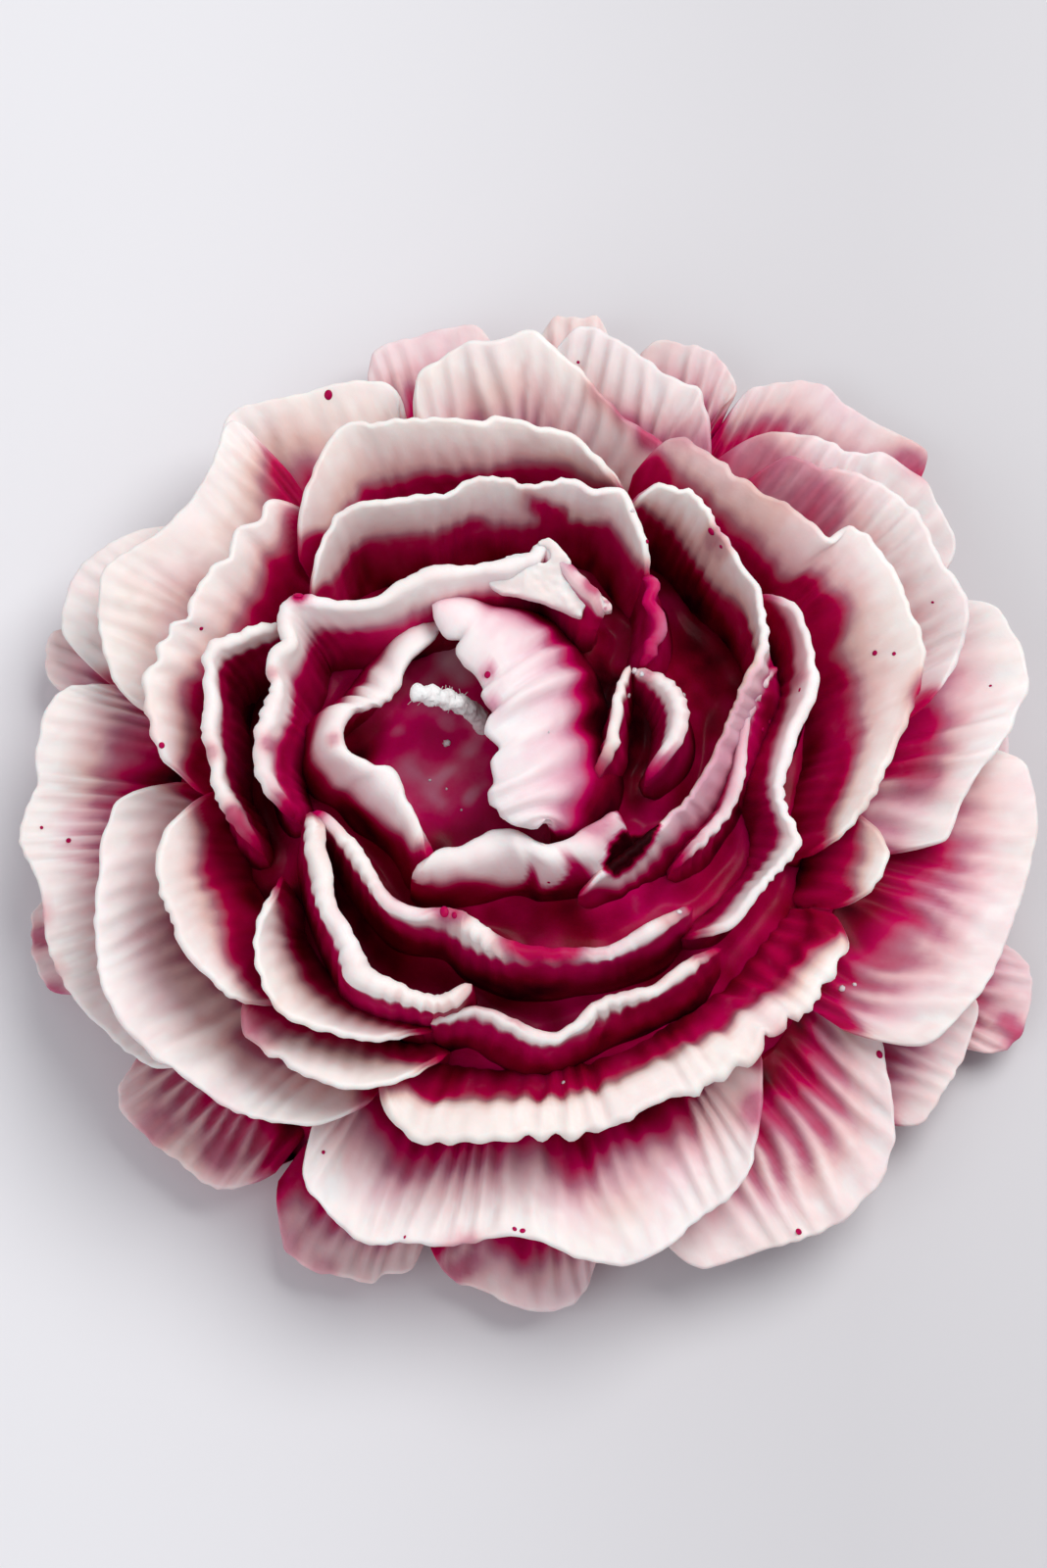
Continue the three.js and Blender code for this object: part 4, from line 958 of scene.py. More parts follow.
def middle_surface(petal, seed):
    rim, even = through(petal["rim"], COLUMN_SPACING)
    along = even / even[-1]
    from_end = np.minimum(even, even[-1] - even)
    calm = smoothed(rim, petal["calm"])
    outward = np.c_[np.gradient(calm[:, 1]), -np.gradient(calm[:, 0])]
    outward /= np.hypot(*outward.T)[:, None]
    foot, leans_in = foot_line(petal, calm, even)
    ragged = petal["ragged"] * (noise("ragged", seed, even) + noise("ragged_fine", seed, even))
    ragged = ragged + petal["scallop"] * rib_wave(petal, seed, even, np.zeros_like(even))
    inset = petal["lip"] * LIP_INSET * (1 if leans_in else -1)
    rim = rim + outward * (ragged + inset)[:, None]
    rim_height = np.interp(along, [0, 0.5, 1], petal["heights"]) + noise("rim_height", seed, even)
    foot_height = core_top(*foot.T) - FOOT_DEPTH
    bend_out, bend_up = petal["bend"]
    edge_line = calm + outward * inset
    bend = foot + (edge_line - foot) * bend_out
    bend_height = foot_height + (rim_height - foot_height) * bend_up
    edge = np.c_[edge_line, rim_height]
    tail = min(petal["tail"], even[-1] / TAILS_PER_RIM)
    drops = np.where(along < 0.5, *petal["ends"])
    top = 1 - CORNER_DROP * drops * np.clip(1 - from_end / tail, 0, 1) ** 2
    return {
        "even": even, "from_end": from_end, "tail": tail, "drops": drops, "top": top,
        "foot": np.c_[foot, foot_height], "bend": np.c_[bend, bend_height], "edge": edge,
        "ripple": np.c_[rim, rim_height] - edge,
    }


def wall_at(surface, shift=0.0):
    rows = []
    for height in HEIGHTS:
        share = ((height + shift) * surface["top"])[:, None]
        curve = (1 - share) ** 2 * surface["foot"] + 2 * share * (1 - share) * surface["bend"]
        rows.append(
            curve + share ** 2 * surface["edge"] + share ** RIPPLE_POWER * surface["ripple"]
        )
    return np.stack(rows, axis=1)


surface = middle_surface(traits("crown_back"), 0)
print("the wall of crown_back sinks over", round(surface["tail"], 1), "mm at its ends")

# %% [markdown]
# The skin lies half the wall's thickness to either side of the middle surface, and the ribs are
# added to that. A groove never goes through the wall. The wall is thick at its foot, thin at its
# rim and pinched at its two ends.

# %% Directions and depths on a wall
PROBE = 0.02
FACING_REACH = 1.7


def wall_directions(surface, wall):
    upward = wall_at(surface, PROBE) - wall_at(surface, -PROBE)
    calm_rows = [smoothed(wall[:, row], FACING_REACH) for row in range(len(UPS))]
    outward = np.cross(np.gradient(np.stack(calm_rows, axis=1), axis=0), upward)
    return [way / np.linalg.norm(way, axis=2, keepdims=True) for way in (upward, outward)]


def depth_below_lip(wall):
    steps = np.linalg.norm(np.diff(wall, axis=1), axis=2)
    inner_end, outer_start = INNER_ROWS - 1, INNER_ROWS + LIP_ROWS
    depth = np.zeros(wall.shape[:2])
    depth[:, :inner_end] = np.cumsum(steps[:, :inner_end][:, ::-1], axis=1)[:, ::-1]
    depth[:, outer_start + 1:-1] = np.cumsum(steps[:, outer_start:-1], axis=1)
    depth[:, -1] = depth[:, 0]
    return depth


deepest = depth_below_lip(wall_at(surface)).max()
print("crown_back's wall goes down", round(deepest, 1), "mm from its lip")

# %% The skin of a petal
FOOT_THICKNESS = 4.6
FOOT_CURVE = 2.2
END_ROUNDING = 1.4
RIBS_FROM_HEIGHT = 0.35
LIP_CALM_REACH = 1.6
DEEPEST_GROOVE = 0.7
THIN_AT_ENDS, THICKER_BETWEEN = 0.7, 0.3
FOLD_START = 3
SETTLE_FROM, SETTLE_OVER = 0.85, 0.45


def half_thickness(petal, surface, pinch, seed):
    thick = petal["lip"] + (FOOT_THICKNESS - petal["lip"]) * (1 - HEIGHTS) ** FOOT_CURVE
    half_thick = thick / 2 * (1 + noise("thickness", seed, surface["even"]))[:, None]
    thicker = THICKER_BETWEEN * smoothstep(surface["from_end"] / surface["tail"])
    return half_thick * pinch * (THIN_AT_ENDS + thicker)[:, None]


def petal_skin(petal, surface, seed):
    wall = wall_at(surface)
    upward, outward = wall_directions(surface, wall)
    depth = depth_below_lip(wall)
    length = surface["even"][-1]
    along = surface["even"][:, None] * np.ones_like(depth)
    calm_lip = 1 - petal["lip_calm"] * smoothstep(1 - depth / LIP_CALM_REACH)
    fade_in = smoothstep(HEIGHTS / RIBS_FROM_HEIGHT)[None, :] * calm_lip
    ridge = rib_wave(petal, seed, along, depth) * fade_in
    end = np.clip(surface["from_end"] / END_ROUNDING, 0, 1)
    pinch = np.sqrt(np.maximum(1 - (1 - end) ** 2, 0))[:, None]
    half_thick = half_thickness(petal, surface, pinch, seed)
    ribs = np.maximum(petal["rib_depth"] * ridge * pinch, -DEEPEST_GROOVE * half_thick)
    offset = -SIDES * (half_thick + ribs)
    for place, slant, width, groove in petal["folds"]:
        apart = (along - place * length - slant * depth) / width
        fold = SIDES * groove * np.exp(-apart ** 2)
        offset = offset + fold * smoothstep(depth / FOLD_START) * pinch
    roll_width, roll_height = petal["roll"]
    across_roll = np.sin(math.pi * np.clip(depth / roll_width, 0, 1))
    offset = offset - (SIDES > 0) * roll_height * across_roll ** 2 * pinch
    over_lip = np.maximum(UPS - 1, 0) * half_thick
    skin = wall + outward * offset[..., None] + upward * over_lip[..., None]
    lowered = smoothstep((SETTLE_FROM - HEIGHTS) / SETTLE_OVER) * (SIDES < 0)
    skin[..., 2] = np.maximum(skin[..., 2] * (1 - petal["settle"] * lowered), 0)
    return skin, along, depth, ridge


skin, along, depth, ridge = petal_skin(traits("crown_back"), surface, 0)
print("crown_back's skin has", skin.shape[0] * skin.shape[1], "points")

# %% [markdown]
# The cream darkens a little down its band, turns to magenta over the blur, and ends at the foot in a
# painted shade of wine red. The dye runs a little further where a groove leads it, so its edge has
# fine teeth. At the petal's ends the band is narrow and the blur short.

# %% The dye, the painted foot shade and the blush of a petal
BAND_LOST_AT_ENDS, BLUR_LOST_AT_ENDS, TURNED_AT_ENDS = 0.9, 0.4, 0.6
BLUR_PER_BAND, LEAST_BLUR = 2, 0.7
SHADE_PAST_BAND = 2
TEETH_BY_RIBS, WIDEST_TOOTH_BLUR = 0.6, 9
# The wine red added low on each wall is painted shade at the wall's foot.
MAGENTA, LEAST_MAGENTA, FOOT_SHADE_WINE = 0.67, 0.6, 0.24
FOOT_SHADE_FROM, FOOT_SHADE_OVER = 0.05, 0.5
GROOVES_FROM, GROOVES_OVER = 1.5, 8
DARKEST_CREAM = 0.5
DAB_DYE_AND_SHADE, DAB_GAIN = 0.64, 1.5
HOLE_SHADE_EDGE, HOLE_SHADE_START = 4, 1.5


def dabbed(dye_and_shade, x, y):
    for dab_x, dab_y, reach, strength in DYE_AND_SHADE_DABS:
        near = np.exp(-((x - dab_x) ** 2 + (y - dab_y) ** 2) / reach ** 2)
        # A dab of strength 1 paints the black shade of a deep hole, with a hard edge.
        if strength == 1:
            dye_and_shade = dye_and_shade + np.clip(near * HOLE_SHADE_EDGE - HOLE_SHADE_START, 0, 1) * (1 - dye_and_shade)
        else:
            share = min(strength * DAB_GAIN, 1) * np.minimum(near * DAB_GAIN, 1)
            dye_and_shade = dye_and_shade + share * np.maximum(DAB_DYE_AND_SHADE - dye_and_shade, 0)
    return dye_and_shade


def petal_dye_and_shade(petal, surface, skin, along, depth, ridge, seed):
    def by_face(inner, outer):
        return np.where(SIDES > 0, spread(inner, surface["even"]), spread(outer, surface["even"]))

    def noisy(name):
        return noise(name, seed, along, depth)

    near_end = 1 - smoothstep(surface["from_end"] / surface["tail"])
    bare = (near_end * surface["drops"])[:, None]
    band = by_face(petal["inner_cream"], petal["outer_cream"])
    band = band * (1 + noisy("band_width") + noisy("band_edge")) * (1 - BAND_LOST_AT_ENDS * bare)
    blur = by_face(petal["inner_blur"], petal["outer_blur"])
    teeth = TEETH_BY_RIBS * ridge + noisy("teeth")
    teeth = petal["streaks"] * np.minimum(blur, WIDEST_TOOTH_BLUR) * teeth
    widest = BLUR_PER_BAND * band + LEAST_BLUR
    blur = np.minimum(blur * (1 - BLUR_LOST_AT_ENDS * bare), widest)
    turned = smoothstep((depth - teeth - band) / blur + 0.5 + TURNED_AT_ENDS * bare)
    stain_height = petal["foot_stain"]
    above_stain = (HEIGHTS - stain_height / 3) / stain_height + noisy("foot_stain")
    turned = 1 - (1 - turned) * smoothstep(above_stain)
    # Painted shade: the dye deepens towards wine red at the foot of the wall.
    low = 1 - smoothstep((HEIGHTS - FOOT_SHADE_FROM) / FOOT_SHADE_OVER + noisy("wine_edge"))
    deep = MAGENTA + FOOT_SHADE_WINE * low + noisy("depth_of_dye")
    deep = np.maximum(deep + noisy("depth_of_dye_fine"), LEAST_MAGENTA)
    shade = by_face(petal["shade"], petal["outer_shade"])
    shade = shade * smoothstep(depth / (band + SHADE_PAST_BAND))
    in_groove = (0.5 - 0.5 * ridge) * smoothstep((depth - GROOVES_FROM) / GROOVES_OVER)
    pale = petal["tint"] + shade + petal["mottle"] * noisy("mottle") + petal["grooves"] * in_groove
    pale = np.minimum(pale, DARKEST_CREAM)
    dye_and_shade = dabbed(pale + (deep - pale) * turned, skin[..., 0], skin[..., 1])
    return dye_and_shade, by_face(petal["blush"], petal["outer_blush"]) + noisy("blush")


dye_and_shade, blush = petal_dye_and_shade(traits("crown_back"), surface, skin, along, depth, ridge, 0)
print("crown_back's dye goes from", round(dye_and_shade.min(), 2), "to", round(dye_and_shade.max(), 2))

# %% Build the petals from grids
MERGE_DISTANCE = 0.00001
SEEDS_APART = 20
FEET_FROM_END = 2
FOOT_LINES = []


def get_places(piece):
    flat = np.empty(len(piece.data.vertices) * 3)
    piece.data.vertices.foreach_get("co", flat)
    return flat.reshape(-1, 3)


def set_places(piece, places):
    piece.data.vertices.foreach_set("co", places.ravel())
    piece.data.update()


# The dye attribute holds the dye together with painted shade and, on the core, painted light.
def stain(piece, dye_and_shade, blush):
    for attribute, values in {"dye_and_shade": dye_and_shade, "blush": blush}.items():
        layer = piece.data.attributes.new(attribute, "FLOAT", "POINT")
        layer.data.foreach_set("value", np.clip(values, 0, 1))


def recalculate_normals():
    bpy.ops.mesh.select_all(action="SELECT")
    bpy.ops.mesh.normals_make_consistent(inside=False)


def build_petal(name, seed):
    petal = traits(name)
    surface = middle_surface(petal, seed)
    skin, along, depth, ridge = petal_skin(petal, surface, seed)
    dye_and_shade, blush = petal_dye_and_shade(petal, surface, skin, along, depth, ridge, seed)
    FOOT_LINES.append(surface["foot"][surface["from_end"] > FEET_FROM_END, :2])
    columns, rows = skin.shape[:2]
    start_clean()
    bpy.ops.mesh.primitive_grid_add(x_subdivisions=columns - 1, y_subdivisions=rows - 1, size=2)
    piece = new_piece("wax_" + name)
    flat = get_places(piece)
    column = np.rint((flat[:, 0] + 1) / 2 * (columns - 1)).astype(int)
    row = np.rint((flat[:, 1] + 1) / 2 * (rows - 1)).astype(int)
    set_places(piece, (skin[column, row] + axis_point) * MM)
    stain(piece, dye_and_shade[column, row], blush[column, row])
    in_edit_mode(
        piece, lambda: bpy.ops.mesh.remove_doubles(threshold=MERGE_DISTANCE), recalculate_normals,
    )
    return finish_piece(piece, petal_wax, name.replace("_", "_petal_", 1))


petals = [build_petal(name, SEEDS_APART * number) for number, name in enumerate(RIMS)]
print(len(petals), "petals with", sum(len(petal.data.polygons) for petal in petals), "faces")

# %% [markdown]
# ## The torn flap
#
# Behind the heart a rim tore when the mould was peeled off, and a white flap of it hangs over the
# gap. A circle primitive takes the flap's outline and is extruded into a plate. Then a voxel
# remesh and a smooth modifier round its edges, as soft wax would round. It could be sculpted by
# hand, but an outline of points is easier to put right. Its noises have a seed, a strength, a
# length in millimetres and a shift.

# %% The torn flap: outline with heights, in millimetres
FLAP = [
    (-5.5, 20.4, 41.7), (-4.1, 20.9, 42.0), (-2.7, 20.8, 42.1), (-2.0, 21.7, 42.4),
    (-0.7, 22.0, 42.5), (0.8, 21.8, 42.5), (1.6, 21.2, 42.3), (2.4, 20.9, 42.2), (3.0, 21.4, 42.4),
    (3.0, 22.2, 42.7), (2.4, 22.7, 42.8), (1.6, 22.7, 42.7), (1.6, 23.3, 42.9), (2.8, 23.8, 43.0),
    (3.7, 23.1, 43.0), (4.6, 22.1, 42.8), (5.4, 21.0, 42.5), (5.3, 20.5, 42.3), (4.5, 20.3, 42.2),
    (4.4, 19.7, 42.0), (5.1, 18.9, 41.9), (6.5, 18.8, 42.0), (7.7, 18.3, 42.0), (8.1, 17.7, 41.8),
    (9.2, 17.2, 41.6), (9.9, 16.4, 41.4), (9.9, 15.7, 41.2), (9.1, 15.5, 41.1), (7.9, 16.1, 41.1),
    (7.0, 16.4, 41.1), (6.6, 15.9, 40.8), (6.6, 15.1, 40.5), (5.4, 15.5, 40.5), (3.9, 16.2, 40.6),
    (1.9, 16.9, 40.8), (-0.7, 17.6, 41.0), (-2.5, 17.9, 41.1), (-3.7, 18.6, 41.3),
    (-4.4, 19.4, 41.5), (-5.3, 19.2, 41.4),
]
FLAP_THICKNESS = 1.6
FLAP_VOXEL = 0.2
FLAP_STAIN_FROM, FLAP_STAIN_OVER = 8.2, 1.2
FLAP_DYE, FLAP_END_DYE, FLAP_BLUSH = 0.02, 0.3, 0.3
FLAP_NOISES = {
    "height": (801, 0.30, 1.6, 20), "height_fine": (802, 0.10, 0.6, 20),
    "end": (803, 0.25, 0.4, 20), "stain": (804, 0.05, 2, 20),
}


def plane_noise(noises, name, x, y):
    seed, strength, length, shift = noises[name]
    return strength * soft_noise(seed, x / length + shift, y / length + shift)


def apply_modifier(piece, kind, **settings):
    modifier = piece.modifiers.new(kind.lower(), kind)
    for key, value in settings.items():
        setattr(modifier, key, value)
    start_clean()
    piece.select_set(True)
    bpy.context.view_layer.objects.active = piece
    bpy.ops.object.modifier_apply(modifier=modifier.name)


def build_flap():
    start_clean()
    bpy.ops.mesh.primitive_circle_add(vertices=len(FLAP), radius=1, fill_type="NGON")
    piece = new_piece("wax_torn_flap")
    set_places(piece, (np.array(FLAP) + axis_point) * MM)
    down = {"value": (0, 0, -FLAP_THICKNESS * MM)}
    in_edit_mode(
        piece, lambda: bpy.ops.mesh.extrude_region_move(TRANSFORM_OT_translate=down),
        recalculate_normals,
    )
    apply_modifier(piece, "REMESH", mode="VOXEL", voxel_size=FLAP_VOXEL * MM)
    apply_modifier(piece, "SMOOTH", factor=0.5, iterations=8)
    places = get_places(piece) / MM
    x, y = places[:, 0], places[:, 1]

    def flap_noise(name):
        return plane_noise(FLAP_NOISES, name, x, y)

    places[:, 2] += flap_noise("height") + flap_noise("height_fine")
    set_places(piece, places * MM)
    at_end = smoothstep((x - axis[0] - FLAP_STAIN_FROM) / FLAP_STAIN_OVER)
    at_end = at_end * (FLAP_END_DYE + flap_noise("end"))
    stain(piece, FLAP_DYE + flap_noise("stain") + at_end, FLAP_BLUSH + at_end)
    return finish_piece(piece, petal_wax)


flap = build_flap()
print("flap with", len(flap.data.polygons), "faces")

# %% [markdown]
# ## The dyed core
#
# Between the petals the magenta wax stands as a smooth, glossy floor, and it climbs a little up
# each petal's foot, as it did in the mould. The core is a ball primitive. Its upper half is moved
# onto the core's dome with this climb and a soft swell, and its lower half is pressed flat on the
# table. A tree of points along the feet tells how far each place is from the nearest petal. A
# turned profile would give the dome as well, but it has no way to follow the feet.

# %% The distance to the nearest foot
foot_points = np.vstack(FOOT_LINES)
feet = KDTree(len(foot_points))
for number, point in enumerate(foot_points):
    feet.insert((*point, 0), number)
feet.balance()
print(len(foot_points), "points along the feet")

# %% The core
CORE_RINGS = 150
CORE_SEGMENTS = 260
BASE_SHARE = 0.2
EDGE_WIDTH = 5
CLIMB, CLIMB_START, CLIMB_REACH = 1.6, 1.3, 2.0
CORE_LOWERED = 0.6
FLUTES, FLUTE_DEPTH, FLUTE_SEED, FLUTE_SHIFT = 6, 0.026, 907, 20
BOWL_REACH, BOWL_EDGE = 9.5, 4
POLE_SHARPNESS = 20
CORE_DYE, BOWL_PALER = 0.77, 0.16
CLOUDS, CLOUDS_LESS_IN_BOWL = 0.12, 0.06
FINE_CLOUDS, FINE_LESS_IN_BOWL = 0.08, 0.05
MARBLING, MARBLING_SEED, MARBLING_SHIFT = 0.14, 905, 30
MARBLING_LENGTHS = (3.2, 2.8)
MARBLING_FROM, MARBLING_WIDTH = -0.3, 1.3
CORE_BLUSH, BLUSH_MORE_IN_BOWL = 0.6, 0.4
CORE_NOISES = {
    "swell": (901, 0.5, 6, 20), "swell_fine": (902, 0.2, 2.5, 40), "clouds": (903, 1.0, 5, 9),
    "clouds_fine": (904, 1.0, 1.8, 9), "marbling_fine": (906, 0.3, 1.5, 30),
    "blush": (908, 0.5, 7, 9),
}


def core_noise(name, x, y):
    return plane_noise(CORE_NOISES, name, x, y)


def core_shape(ball):
    polar = np.arccos(np.clip(ball[:, 2], -1, 1)) / math.pi
    upper = polar <= 1 - BASE_SHARE
    reach = np.where(upper, polar / (1 - BASE_SHARE), (1 - polar) / BASE_SHARE) * core_reach
    angle = np.arctan2(ball[:, 1], ball[:, 0])
    x, y = reach * np.cos(angle), reach * np.sin(angle)
    edge = smoothstep((core_reach - reach) / EDGE_WIDTH)
    swell = core_noise("swell", x, y) + core_noise("swell_fine", x, y)
    to_foot = np.array([feet.find((*place, 0))[2] for place in np.c_[x, y]])
    climb = CLIMB * np.exp(-(np.maximum(to_foot - CLIMB_START, 0) / CLIMB_REACH) ** 2)
    height = np.where(upper, core_top(x, y) + (swell - CORE_LOWERED + climb) * edge, 0)
    off_pole = smoothstep(np.minimum(polar, 1 - polar) * POLE_SHARPNESS)
    waves = soft_noise(FLUTE_SEED, angle * FLUTES + FLUTE_SHIFT, np.zeros_like(angle))
    flutes = 1 + FLUTE_DEPTH * (1 - edge) * waves * off_pole
    return x, y, np.c_[x * flutes + axis[0], y * flutes + axis[1], height] * MM


def core_dye_and_shade(x, y):
    from_heart = np.hypot(x - HEART_MIDDLE[0], y - HEART_MIDDLE[1])
    in_bowl = smoothstep((BOWL_REACH - from_heart) / BOWL_EDGE)
    clouds = (CLOUDS - CLOUDS_LESS_IN_BOWL * in_bowl) * core_noise("clouds", x, y)
    fine_share = FINE_CLOUDS - FINE_LESS_IN_BOWL * in_bowl
    fine_clouds = fine_share * core_noise("clouds_fine", x, y)
    dye_and_shade = CORE_DYE - BOWL_PALER * in_bowl + clouds + fine_clouds
    one_way = (x + y) / MARBLING_LENGTHS[0] + MARBLING_SHIFT
    other_way = (x - y) / MARBLING_LENGTHS[1] + MARBLING_SHIFT
    marbling = soft_noise(MARBLING_SEED, one_way, other_way) + core_noise("marbling_fine", x, y)
    veins = smoothstep((marbling - MARBLING_FROM) / MARBLING_WIDTH) ** 2
    dye_and_shade = dye_and_shade - MARBLING * in_bowl * veins
    # The pools paint light and shade on the core, along with patches of its dye.
    for pool_x, pool_y, reach, strength in DYE_LIGHT_AND_SHADE_POOLS:
        dye_and_shade = dye_and_shade + strength * np.exp(-((x - pool_x) ** 2 + (y - pool_y) ** 2) / reach ** 2)
    blush = CORE_BLUSH + BLUSH_MORE_IN_BOWL * in_bowl + core_noise("blush", x, y)
    return dabbed(dye_and_shade, x, y), blush


def build_core():
    start_clean()
    bpy.ops.mesh.primitive_uv_sphere_add(segments=CORE_SEGMENTS, ring_count=CORE_RINGS, radius=1)
    piece = new_piece("wax_core_dressed")
    x, y, places = core_shape(get_places(piece))
    set_places(piece, places)
    stain(piece, *core_dye_and_shade(x, y))
    in_edit_mode(piece, recalculate_normals)
    return finish_piece(piece, core_wax, "wax_core")


core = build_core()
print("core with", len(core.data.polygons), "faces")

# %% [markdown]
# ## Drops and crumbs
#
# A cast candle is never clean. Small drops of dye have dried on the cream, and crumbs of pale wax
# lie on the magenta. Each is a small ball that falls straight down on the flower: a ray finds
# where it lands, and it is pressed flat along the surface there. All drops are one piece, and so
# are all crumbs. Particles could scatter them, but each of these has its place in the photograph.

# %% Drops and crumbs: x, y and radius in millimetres
DROPS = [
    (-23.1, 48.9, 0.5), (-25.1, 17.1, 0.6), (-40.8, 2.3, 0.35), (-52.7, -4.9, 0.32),
    (-55.8, -3.5, 0.2), (-36.6, 16.1, 0.25), (42.3, 35.6, 0.35), (41.0, -29.5, 0.5),
    (31.5, -49.8, 0.4), (-1.0, -50.6, 0.3), (-0.1, -50.8, 0.35), (-13.4, -51.5, 0.22),
    (40.0, 13.8, 0.28), (42.1, 13.4, 0.24), (-22.7, -41.7, 0.22), (12.0, -19.6, 0.35),
    (21.1, 25.3, 0.5), (31.2, 8.6, 0.3), (28.0, 6.1, 0.3), (27.1, 4.6, 0.3), (6.5, 53.6, 0.2),
    (-4.0, 7.9, 0.35), (-8.7, -18.7, 0.5), (-7.6, -19.1, 0.4), (22.2, 23.6, 0.25),
    (2.8, -14.2, 0.2), (47.3, 21.6, 0.2), (54.4, 13.3, 0.2), (13.9, 24.1, 0.25),
]
CRUMBS = [
    (36.6, -22.4, 0.35), (38.1, -21.8, 0.3), (17.2, -18.1, 0.3), (4.5, -34.7, 0.25),
    (-8.7, 3.2, 0.4), (12.3, 27.6, 0.2), (-16.4, 19.3, 0.4), (-15.6, 19.9, 0.55),
    (-14.6, 20.2, 0.45), (-13.7, 20.6, 0.35), (-8.7, -2.2, 0.16), (-7.0, -4.7, 0.14),
    (-10.6, -1.1, 0.14), (18.3, 9.5, 0.3), (12.4, 9.5, 0.35), (13.2, 8.9, 0.3), (11.8, 7.3, 0.3),
    (2.8, 1.3, 0.15),
]
SKY = 0.1
BALL_SEGMENTS, BALL_RINGS = 14, 8
SPECK_BLUSH = 0.8
SPECK_WIDTHS = (0.7, 1.3)
depsgraph = bpy.context.evaluated_depsgraph_get()
surfaces = [BVHTree.FromObject(piece, depsgraph) for piece in [*petals, flap, core]]


def landing(x, y):
    start = Vector(((x + axis[0]) * MM, (y + axis[1]) * MM, SKY))
    hits = [surface.ray_cast(start, Vector((0, 0, -1))) for surface in surfaces]
    place, normal, _, _ = min((hit for hit in hits if hit[0]), key=lambda hit: hit[3])
    return place, normal.to_track_quat("Z", "Y").to_euler()


def join_all(pieces):
    start_clean()
    for piece in pieces:
        piece.select_set(True)
    bpy.context.view_layer.objects.active = pieces[0]
    bpy.ops.object.join()


def build_specks(name, specks, flatness, roughness, dye_and_shade, seed):
    rng = np.random.default_rng(seed)
    start_clean()
    balls = []
    for x, y, radius in specks:
        place, turn = landing(x, y)
        shape = (1, rng.uniform(*SPECK_WIDTHS), flatness)
        bpy.ops.mesh.primitive_uv_sphere_add(
            segments=BALL_SEGMENTS, ring_count=BALL_RINGS, radius=radius * MM,
            location=place, rotation=turn, scale=shape,
        )
        ball = bpy.context.object
        for vertex in ball.data.vertices:
            vertex.co *= 1 + roughness * rng.uniform(-1, 1)
        balls.append(ball)
    join_all(balls)
    piece = new_piece(name)
    bpy.ops.object.transform_apply(location=True, rotation=True, scale=True)
    count = len(piece.data.vertices)
    stain(piece, np.full(count, dye_and_shade), np.full(count, SPECK_BLUSH))
    return finish_piece(piece, petal_wax)


build_specks(
    "wax_dye_drops", DROPS, flatness=0.4, roughness=0.0, dye_and_shade=0.68, seed=51,
)
build_specks(
    "wax_crumbs", CRUMBS, flatness=0.7, roughness=0.22, dye_and_shade=0.1, seed=52,
)
print(len(DROPS), "drops and", len(CRUMBS), "crumbs")

# %% [markdown]
# ## The wick and its foot
#
# The wick is a stiff braid of cotton that leans to the left over the bowl. A grid primitive is
# rolled into a tube along the wick's path, and two waves that wind round it against each other
# make the braid. Thin cylinders are its stray fibres. Three real strands could be wound from
# curves, but at this size only their ridges show.

# %% The wick's cotton
COTTON_FIBRES = (3200, 5.0, 0.7)
COTTON_TONES = [(0.3, (0.97, 0.94, 0.92)), (0.5, (1.0, 0.99, 0.98))]


def cotton_material():
    material, tree, place = new_material("wick_cotton")
    fibres = add_noise(tree, place, *COTTON_FIBRES)
    bump = add(tree, "ShaderNodeBump", {"Height": fibres, "Strength": 0.4, "Distance": 0.0002})
    shade_with(tree, {
        "Base Color": add_ramp(tree, fibres, COTTON_TONES),
        "Normal": bump.outputs[0],
        "Roughness": 0.85,
        "Sheen Weight": 0.5,
        "Subsurface Weight": 0.8,
        "Subsurface Radius": (1.0, 0.9, 0.9),
        "Subsurface Scale": 0.0015,
    })
    return material


cotton = cotton_material()
print("material", cotton.name)

# %% The wick's path and thickness
WICK_STAND = (-4.216, 4.588)
WICK_SINK = 4
WICK_KNEE = (-0.3, 1.2, 5.5)
WICK_TIP = (-8.4, 8.4 / 5, 10.0)
KNEE_SHARE, KNEE_RISE = 0.4, 0.9
WICK_RADIUS = 1.05
WICK_LENGTH = 16
BRAID_DEPTH, BRAID_TURN = 0.09, 2.6
FUZZ_SHIFT = 9
FUZZES = [(77, 0.13, 2), (78, 0.08, 5)]
TIP_FROM, TIP_OVER = 0.93, 0.07


def wick_path(share):
    stand = np.array([*WICK_STAND, core_top(*WICK_STAND)])
    base = stand - [0, 0, WICK_SINK]
    knee = stand + WICK_KNEE
    tip = stand + WICK_TIP
    upper_knee = knee + (tip - knee) * KNEE_SHARE + [0, 0, KNEE_RISE]
    share = share[:, None]
    lower = (1 - share) ** 3 * base + 3 * share * (1 - share) ** 2 * knee
    return lower + 3 * share ** 2 * (1 - share) * upper_knee + share ** 3 * tip


def wick_radius(angle, share):
    length = share * WICK_LENGTH
    braid = BRAID_DEPTH * np.cos(2 * angle + length * BRAID_TURN)
    braid = braid + BRAID_DEPTH * np.cos(2 * angle - length * BRAID_TURN)
    fuzz = 0
    for seed, depth, pitch in FUZZES:
        fuzz = fuzz + depth * soft_noise(seed, angle * pitch + FUZZ_SHIFT, length * pitch)
    seamless = np.sin(angle / 2) ** 0.5
    at_tip = np.clip((share - TIP_FROM) / TIP_OVER, 0, 1)
    rounding = np.sqrt(np.maximum(1 - at_tip ** 2, 0))
    return (WICK_RADIUS + braid + fuzz * seamless) * rounding


print("the wick's tip is at", wick_path(np.array([1.0]))[0].round(1))

